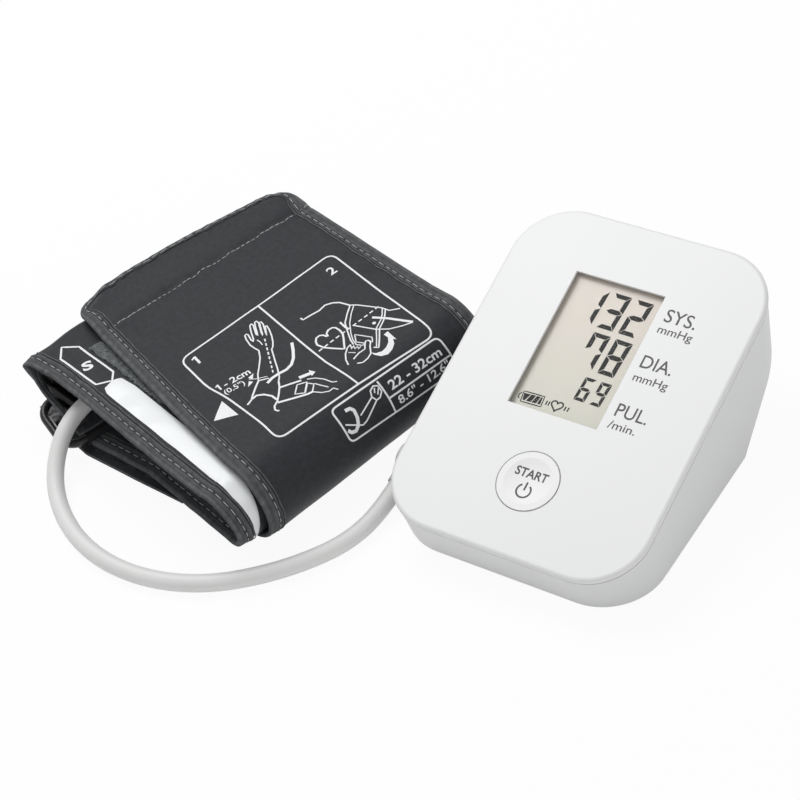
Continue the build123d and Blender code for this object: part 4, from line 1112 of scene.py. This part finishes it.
# first pictogram: a raised hand and forearm, the cuff round the arm, and its tube
parts += drawn([
    (0.6, "67.8,36.4 65.3,35.8 62.5,35.4 58.7,35.9 56.5,36.6 56.2,37.4 57.2,37.8 60.4,37.2 "
          "61.9,37.4 60.5,38.2 56.4,39.6 53.3,40.9 52.6,41.9 53.7,42.2 58.9,40.4 60.2,40.5 "
          "54.9,42.5 52.8,43.5 52.8,44.3 54.2,44.5 59.8,42.4 61.6,42 56.3,44 54.4,44.8 54.3,45.5 "
          "56,45.5 62.5,43.2 59.5,44.6 57.7,45.5 58,46.1 60.4,45.7 64.4,44.5 67.4,43.2 70,41.6 "
          "70.7,40.6", 0.8),
    (0.45, "62.1,39 64.1,39.3 66,39.1"),
    (0.6, "67.8,36.4 71.7,34.6 76.1,31.4 78.9,29.2 82.2,27.5"),
    (0.6, "70.7,40.6 76.9,38.3 81.8,36.6 85.9,34.9 87.9,33.3"),
    (1.25, "73.3,48.5 77.3,46.6 81,44.4 83.5,41.9 84.5,39 84.3,35.3 84.6,32.2 85.7,29.5"),
    (0.6, "82.2,27.5 82.9,29.2 83.8,31.4"),
    (0.75, "82.2,27.5 84.5,24.8 87.3,21.8 89.2,20.1 90.5,17.4"),
    (0.9, "89,20.6 88.5,22.8 90.1,25.3 92.9,27.2 95.9,27.6"),
    (0.75, "87.9,33.3 90.7,32 93.9,29.7 96.9,27.2 98.3,25.1 100.1,24.2 101.4,24.5 101.8,25.2"),
    (0.9, "91.1,31.9 92.3,36 93.7,40.2"),
    (1.0, "97.6,27 99.8,32.7 101.9,38.2 102.2,40.6"),
    (0.55, "98.3,34.4 94.6,37.7 96,41.4 100.5,37.6", 1.2, True),
    (0.55, "100.6,37.7 96.7,41.2 99,42.8 102.1,40.1"),
    (0, "91.1,40.4 92.2,45 90.9,45.3 93.7,46.8 94.7,44.5 93.8,44.7 92.7,40.2"),
    (0.5, "94.8,42.2 96.5,44.8 99.4,47 103.2,48.6 104.2,50.2"),
    (0.5, "98.9,43.1 101.3,44.3 104.5,46.1"),
    (0.5, "102.1,40.1 105.1,42.5 106.5,45 106.2,47.2 107.9,48.3"),
    (0, "77.2,28.2 78,25.2 79.8,26.3"),
    (0, "79.7,24.5 81.2,25.7 82.3,22.7"),
    (0.35, "78.9,25.1 80.7,27.5 82.5,31.4"),
], flap_ink)
parts += dashes((63.7, 41.6), (83.2, 33.8), 8, 0.075, 0.6)
# second pictogram: an arm across the body, the cuff at the height of the heart
parts += drawn([
    (0.75, "63.7,58.5 65.3,58.7 65.2,62.4 65.3,66.3 64.2,69.8 65.1,72.7 66.9,75 70.9,77.2"),
    (0.8, "80.3,61.1 78.7,61.4 77.4,63 77.3,65 78.3,66 80.7,66.4 83.2,66.2 85.9,64.9 91,62.1 "
          "87.9,59.2 84.6,56.5 81.5,55.3 79.6,55.8 78,57 77.7,58.7 78.4,59.9 80,60.6", 1.2, True),
    (0.6, "70.9,77.2 73.1,79.7 78.1,83.4 81.2,85.7 84.8,87.2 86.9,91"),
    (0.6, "82.1,72.1 86.5,75 90.1,77.4 93.6,81.4 95.7,86.3 97,90.4"),
    (1.15, "83.3,80 88.3,84.4 96.8,90.5"),
    (0, arc((86.6, 78.8), 0.8, 0, 330, 8)),
    (0.6, "71.1,77.4 74.5,73.8 78.4,70.3 82.4,68.7 88.3,66.6 91.3,66.1"),
    (0.45, "72.3,78.3 75.6,75 79.7,71.7 84.9,68.9 88.9,67.3 91.9,66.9"),
    (0.5, "81.7,85.9 84.4,84.1 86.6,82.2 89.8,77.7 94.1,75.1 98.7,72.1"),
    (0.6, "83.3,86.3 86.1,84.2 87.8,82.6 90.8,78.6 95.7,75.4 99.7,72.5 98.1,71.1"),
    (0.5, "91.9,66.7 93.9,68.2 94.7,69.7"),
    (0.9, "76.7,69 80.8,69 82.4,69.6"),
    (0.5, "93.3,71.8 95.4,72.4 92.8,73.8 86.8,69.5 90.8,67.6 93.7,69.7"),
    (0.6, "94,69.7 93,70.7 93.3,71.8 94.8,71.8 96.6,70.4 100.2,68.5 101.8,66 102.3,63.3 "
          "101.2,61.4", 0.8),
    (0.6, "94,69.7 96.6,68 96.9,64.9 98.3,61.6"),
    (0.6, "90.5,65.2 91.3,63.2 93.7,60.8 96.7,59.1 99.6,58.4"),
    (0.4, "90.5,65.2 93,64.1 91.8,65.8 93.9,65.1 93.1,66.7 94.9,66.2 94.1,67.7", 0.8),
    (0.4, "93.8,62.1 95.8,64.2"),
    (0, "100.1,68.8 101.6,70 102.3,72.4 101.5,74.8 99.7,77 97.2,78.4 94.8,78 94.2,80.2 "
        "100.5,80.3 99.3,79.4 101.8,78.4 103.9,76.1 105,73.4 104.2,70.6 101.8,68.9"),
], flap_ink)
parts += dashes((84.9, 53.9), (79.6, 86.5), 11, 0.055, 0.65)
# small arm and fist in the size box
parts += drawn([
    (0.6, "117.1,57.8 119.2,54 121.3,50.2"),
    (0.6, "119,59 121.6,55.4 124.2,51.8 125,49.6 123.4,46.2 121.7,42.8"),
    (1.4, "117,45.4 117,47.6 118.3,48.7 121.4,48.6 124.1,47.7 125.7,45.9 125.4,43.9 "
          "124.1,42.8", 0.8),
    (0.6, "117.1,57.8 114.8,58.5 113.6,60.5 114.3,62.2 116.9,62.5 118.7,60.8 119,59", 0.8, True),
    (0.5, "114.4,60.6 116.3,59.6"),
    (0.5, "115.3,61.9 117.3,60.5"),
], flap_ink)
on_hinge(ink_piece("flap_printing", parts, print_finish, None))

ink_piece("size_mark", drawn([
    (0.85, "4.3,-21.3 9.3,-15.7 32,-12 36.5,-14.9 33.3,-20.8 10.4,-24.9", 1.2, True),
], inner_ink) + [
    ink_text("S", (23.3, -21.0), (24.2, -16.6), 5.2, inner_ink, 0.035),
], print_finish, ROOT)


def make_bar():
    """The white index bar printed along the strap's edge, round the right fold."""
    upper = places("36.9,-12.8 37.6,-11.2 45.7,-9.2 55.6,-8.1 69.8,-6.4 82.7,-4.6 90.4,-3.6 "
                   "97.4,-2.6 109,-2.2 122.3,-2.3 146,-2.9")
    lower = places("36.9,-16 38.1,-19.3 41.3,-20 55.2,-18.3 72,-16.1 86.8,-14.1 99.9,-12.6 "
                   "109.2,-11.6 122.4,-9.4 129,-7.7 132.6,-6.6 136.6,-5.8 146,-5.4")
    points, strap = [], []
    rows = 8
    stations = [36.9 + 108.3 * k / 180 for k in range(181)]
    for U in stations:
        low, high = level(lower, U), level(upper, U)
        for j in range(rows + 1):
            share = j / rows
            V = low + (high - low) * share
            crown = 0.1 + 0.28 * (1 - (2 * share - 1) ** 2) ** 0.5
            points.append(inner_spot(U, V, INNER_HALF + crown))
            strap.append((U, V))
    faces = grid_faces(len(stations), rows + 1, flip=True)
    make_piece("index_bar", points, faces, bar_finish, ROOT, strap)


make_bar()

# ---- printing on the desk unit
FACE_TILT = radians(16.6)
UNIT_MIDDLE = (82.8, 15.66)
UNIT_DEPTH = 138
FRONT_HEIGHT = 20.5


def face_point(x, s, d):
    """A point over the desk unit's face, in millimetres: across, up the face, and above it."""
    y = UNIT_MIDDLE[1] - UNIT_DEPTH / 2 + s * cos(FACE_TILT) - d * sin(FACE_TILT)
    z = FRONT_HEIGHT + s * sin(FACE_TILT) + d * cos(FACE_TILT)
    return Vector(((UNIT_MIDDLE[0] + x) * MM, y * MM, z * MM))


def dropped_on(node, lift):
    """Places ink on a node's surface, straight down onto the face."""
    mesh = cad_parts[node].data
    tree = BVHTree.FromPolygons([v.co for v in mesh.vertices], [p.vertices for p in mesh.polygons])
    down = (face_point(0, 0, -1) - face_point(0, 0, 0)).normalized()

    def spot(x, s):
        hit = tree.ray_cast(face_point(x, s, 8.0), down)[0]
        if hit is None:
            hit = face_point(x, s, 0.0)
        return hit - down * (lift * MM)

    return spot


cover_ink = dropped_on("top_cover", 0.03)
button_ink = dropped_on("start_button", 0.03)
panel_ink = dropped_on("lcd_panel", 0.03)

FACE_LABELS = [  # lettering, where it starts and ends across the face, its base line and height
    ("SYS.", 18.6, 31.5, 107.6, 5.6), ("mmHg", 18.4, 32.6, 102.5, 3.3),
    ("DIA.", 18.5, 31.3, 87.0, 5.4), ("mmHg", 18.4, 32.6, 81.1, 3.3),
    ("PUL.", 18.4, 31.5, 65.5, 5.4), ("/min.", 18.1, 29.3, 60.2, 3.3),
]
ink_piece("face_labels", [
    ink_text(text, (start, base), (end, base), tall, cover_ink, 0.004 if tall > 4 else 0.006)
    for text, start, end, base, tall in FACE_LABELS
], label_finish, ROOT)
ink_piece("button_label", [
    ink_text("START", (-6.6, 31.6), (6.9, 31.6), 3.5, button_ink, 0.022),
    ink_line(arc((0.1, 26.2), 2.8, 125, 415, 28), 0.72, button_ink, 0.6),
    ink_line([(0.1, 26.4), (0.1, 29.9)], 0.72, button_ink),
], label_finish, "button")

HOLE_RADIUS = 12.14
HOLE_MIDDLE = 30.2  # up the face


def button_gap_painted_shade():
    """A dark ring painted on the cover round the button's hole: painted shade of the gap, widest
    where the hole's far side is seen.
    """
    points, faces = [], []
    count = 120
    for k in range(count):
        angle = 2 * pi * k / count
        wide = 0.16 + 0.30 * (0.5 + 0.5 * cos(angle - radians(135)))
        for radius in (HOLE_RADIUS, HOLE_RADIUS + wide):
            points.append(cover_ink(radius * cos(angle), HOLE_MIDDLE + radius * sin(angle)))
    for k in range(count):
        a, b = 2 * k, 2 * ((k + 1) % count)
        faces.append((a, a + 1, b + 1, b))
    return points, faces


ink_piece("button_gap_painted_shade", [button_gap_painted_shade()], gap_finish, ROOT)

SEGMENTS = {"1": "bc", "2": "abged", "3": "abgcd", "6": "afgedc", "7": "fabc", "8": "abcdefg",
            "9": "abcdfg"}


def digit(figure, corners, flat, upright):
    """A seven-segment figure between four outer corners. flat is the thickness of its level
    segments, upright that of the others, and g below half the space between two segments."""
    tl, tr, br, bl = (Vector(p) for p in corners)
    w, h, g = (tr - tl).length, (tl - bl).length, 0.13
    half, middle, inset, corner = h / 2, flat * 0.62, upright * 0.78, flat * 1.25
    bars = {
        "a": [(g, h), (w - g, h), (w - inset - g, h - flat), (inset + g, h - flat)],
        "b": [(w, h - g), (w, half + g), (w - upright, half + middle + g),
              (w - upright, h - corner - g), (w - inset, h - flat - g)],
        "c": [(w, half - g), (w, g), (w - inset, flat + g), (w - upright, corner + g),
              (w - upright, half - middle - g)],
        "g": [(2.5 * g, half), (upright, half + middle - g), (w - upright, half + middle - g),
              (w - 2.5 * g, half), (w - upright, half - middle + g),
              (upright, half - middle + g)],
    }
    for name, turned in zip("abc", "def"):
        bars[turned] = [(w - x, h - y) for x, y in bars[name]]
    outlines = [[bl.lerp(br, x / w).lerp(tl.lerp(tr, x / w), y / h) for x, y in bars[name]]
                for name in SEGMENTS[figure]]
    return [ink_patch(outline, panel_ink) for outline in outlines]


digits = []
for figure, flat, upright, corners in (
        ("1", 1.85, 1.95, "-14.9,114.3 -7.7,114.3 -8.6,98.9 -15.6,98.9"),
        ("3", 1.85, 1.95, "-5.7,114.5 1.7,114.4 0.7,98.7 -6.3,98.7"),
        ("2", 1.85, 1.95, "4,114.4 11.2,114.3 10.1,98.7 3,98.8"),
        ("7", 1.85, 1.95, "-5.9,96.5 1.4,96.4 0.6,81.1 -6.5,81.1"),
        ("8", 1.85, 1.95, "3.6,96.4 10.9,96.2 10,80.7 3,80.8"),
        ("6", 1.3, 1.35, "-0.2,77.9 4.6,77.9 3.9,67.7 -0.8,67.8"),
        ("9", 1.3, 1.35, "6.5,77.9 11.1,77.9 10.5,67.7 5.9,67.8")):
    digits += digit(figure, places(corners), flat, upright)
# the battery sign: its outline, its tip and its four charged cells
digits += drawn([
    (0.45, "-20.4,64.9 -11.6,65.2 -11.2,60.8 -19.9,60.5", 1.5, True),
    (0.45, "-20.9,64.2 -21.6,63.2 -21.5,62 -20.8,61.4"),
    (0, "-20,64.2 -17.2,64.3 -18.5,61.3 -19.4,61.3"),
    (0, "-16.9,64.4 -15,64.5 -15.8,61.4 -17.9,61.3"),
    (0, "-14.6,64.5 -13,64.6 -13.6,61.5 -15.5,61.4"),
    (0, "-12.7,64.6 -12.1,64.6 -11.9,61.6 -13.2,61.5"),
], panel_ink)
small_heart = [(-5.4 + 0.152 * 16 * sin(2 * pi * k / 24) ** 3,
                63.2 + 0.148 * (13 * cos(2 * pi * k / 24) - 5 * cos(4 * pi * k / 24)
                                - 2 * cos(6 * pi * k / 24) - cos(8 * pi * k / 24)))
               for k in range(24)]
digits.append(ink_line(small_heart, 0.62, panel_ink, 0.8, closed=True))
for x in (-9.85, -8.75, -1.85, -0.55):
    digits.append(ink_line([(x, 62.2), (x + 0.1, 64.0)], 0.55, panel_ink))
ink_piece("display_digits", digits, digit_finish, ROOT)

# ---- floor, background and light
def seen_by(tree, ray):
    """1 for a ray from the camera or of one more kind, and 0 for all others."""
    rays = add_node(tree, "LightPath").outputs
    return add_node(tree, "Math", {0: rays["Is Camera Ray"], 1: rays[ray]},
                    operation="MAXIMUM").outputs["Value"]


floor_mesh = bpy.data.meshes.new("floor")
floor_mesh.from_pydata([(-6, -6, 0), (6, -6, 0), (6, 6, 0), (-6, 6, 0)], [], [(0, 1, 2, 3)])
floor = placed("floor", floor_mesh)
floor_finish, tree, paper = new_finish("floor_paper", Base_Color=(0.9, 0.9, 0.9, 1), Roughness=0.9,
                                       Specular_IOR_Level=0.1)
glow = add_node(tree, "Emission", {"Color": (1, 1, 1, 1), "Strength": 1.0})
most = add_node(tree, "Math", {0: seen_by(tree, "Is Glossy Ray"), 1: 0.93}, operation="MULTIPLY")
lit = add_node(tree, "MixShader", {"Fac": most.outputs["Value"], 1: paper.outputs["BSDF"],
                                   2: glow.outputs["Emission"]})
tree.links.new(lit.outputs["Shader"], tree.nodes["Material Output"].inputs["Surface"])
floor_mesh.materials.append(floor_finish)

world = bpy.data.worlds.new("studio")
scene.world = world
world.use_nodes = True
tree = world.node_tree
backdrop = tree.nodes["Background"]
backdrop.inputs["Color"].default_value = (1, 1, 1, 1)
strength = add_node(tree, "MapRange", {"To Min": 0.46, "To Max": 1.0,
                                       "Value": seen_by(tree, "Is Transmission Ray")})
tree.links.new(strength.outputs["Result"], backdrop.inputs["Strength"])


def lamp(name, place, size, energy):
    """A soft lamp that shines at the middle of the object."""
    data = bpy.data.lights.new(name, "AREA")
    data.size = size
    data.energy = energy
    obj = placed(name, data)
    obj.location = place
    aim = Vector((0.0, 0.0, 0.02)) - Vector(place)
    obj.rotation_euler = aim.to_track_quat("-Z", "Y").to_euler()


lamp("key", (-0.6, 0.3, 1.2), 0.8, 11.2)
lamp("side", (1.15, -0.35, 0.55), 1.2, 2.4)
lamp("front", (-0.3, -1.15, 0.4), 1.0, 0.6)
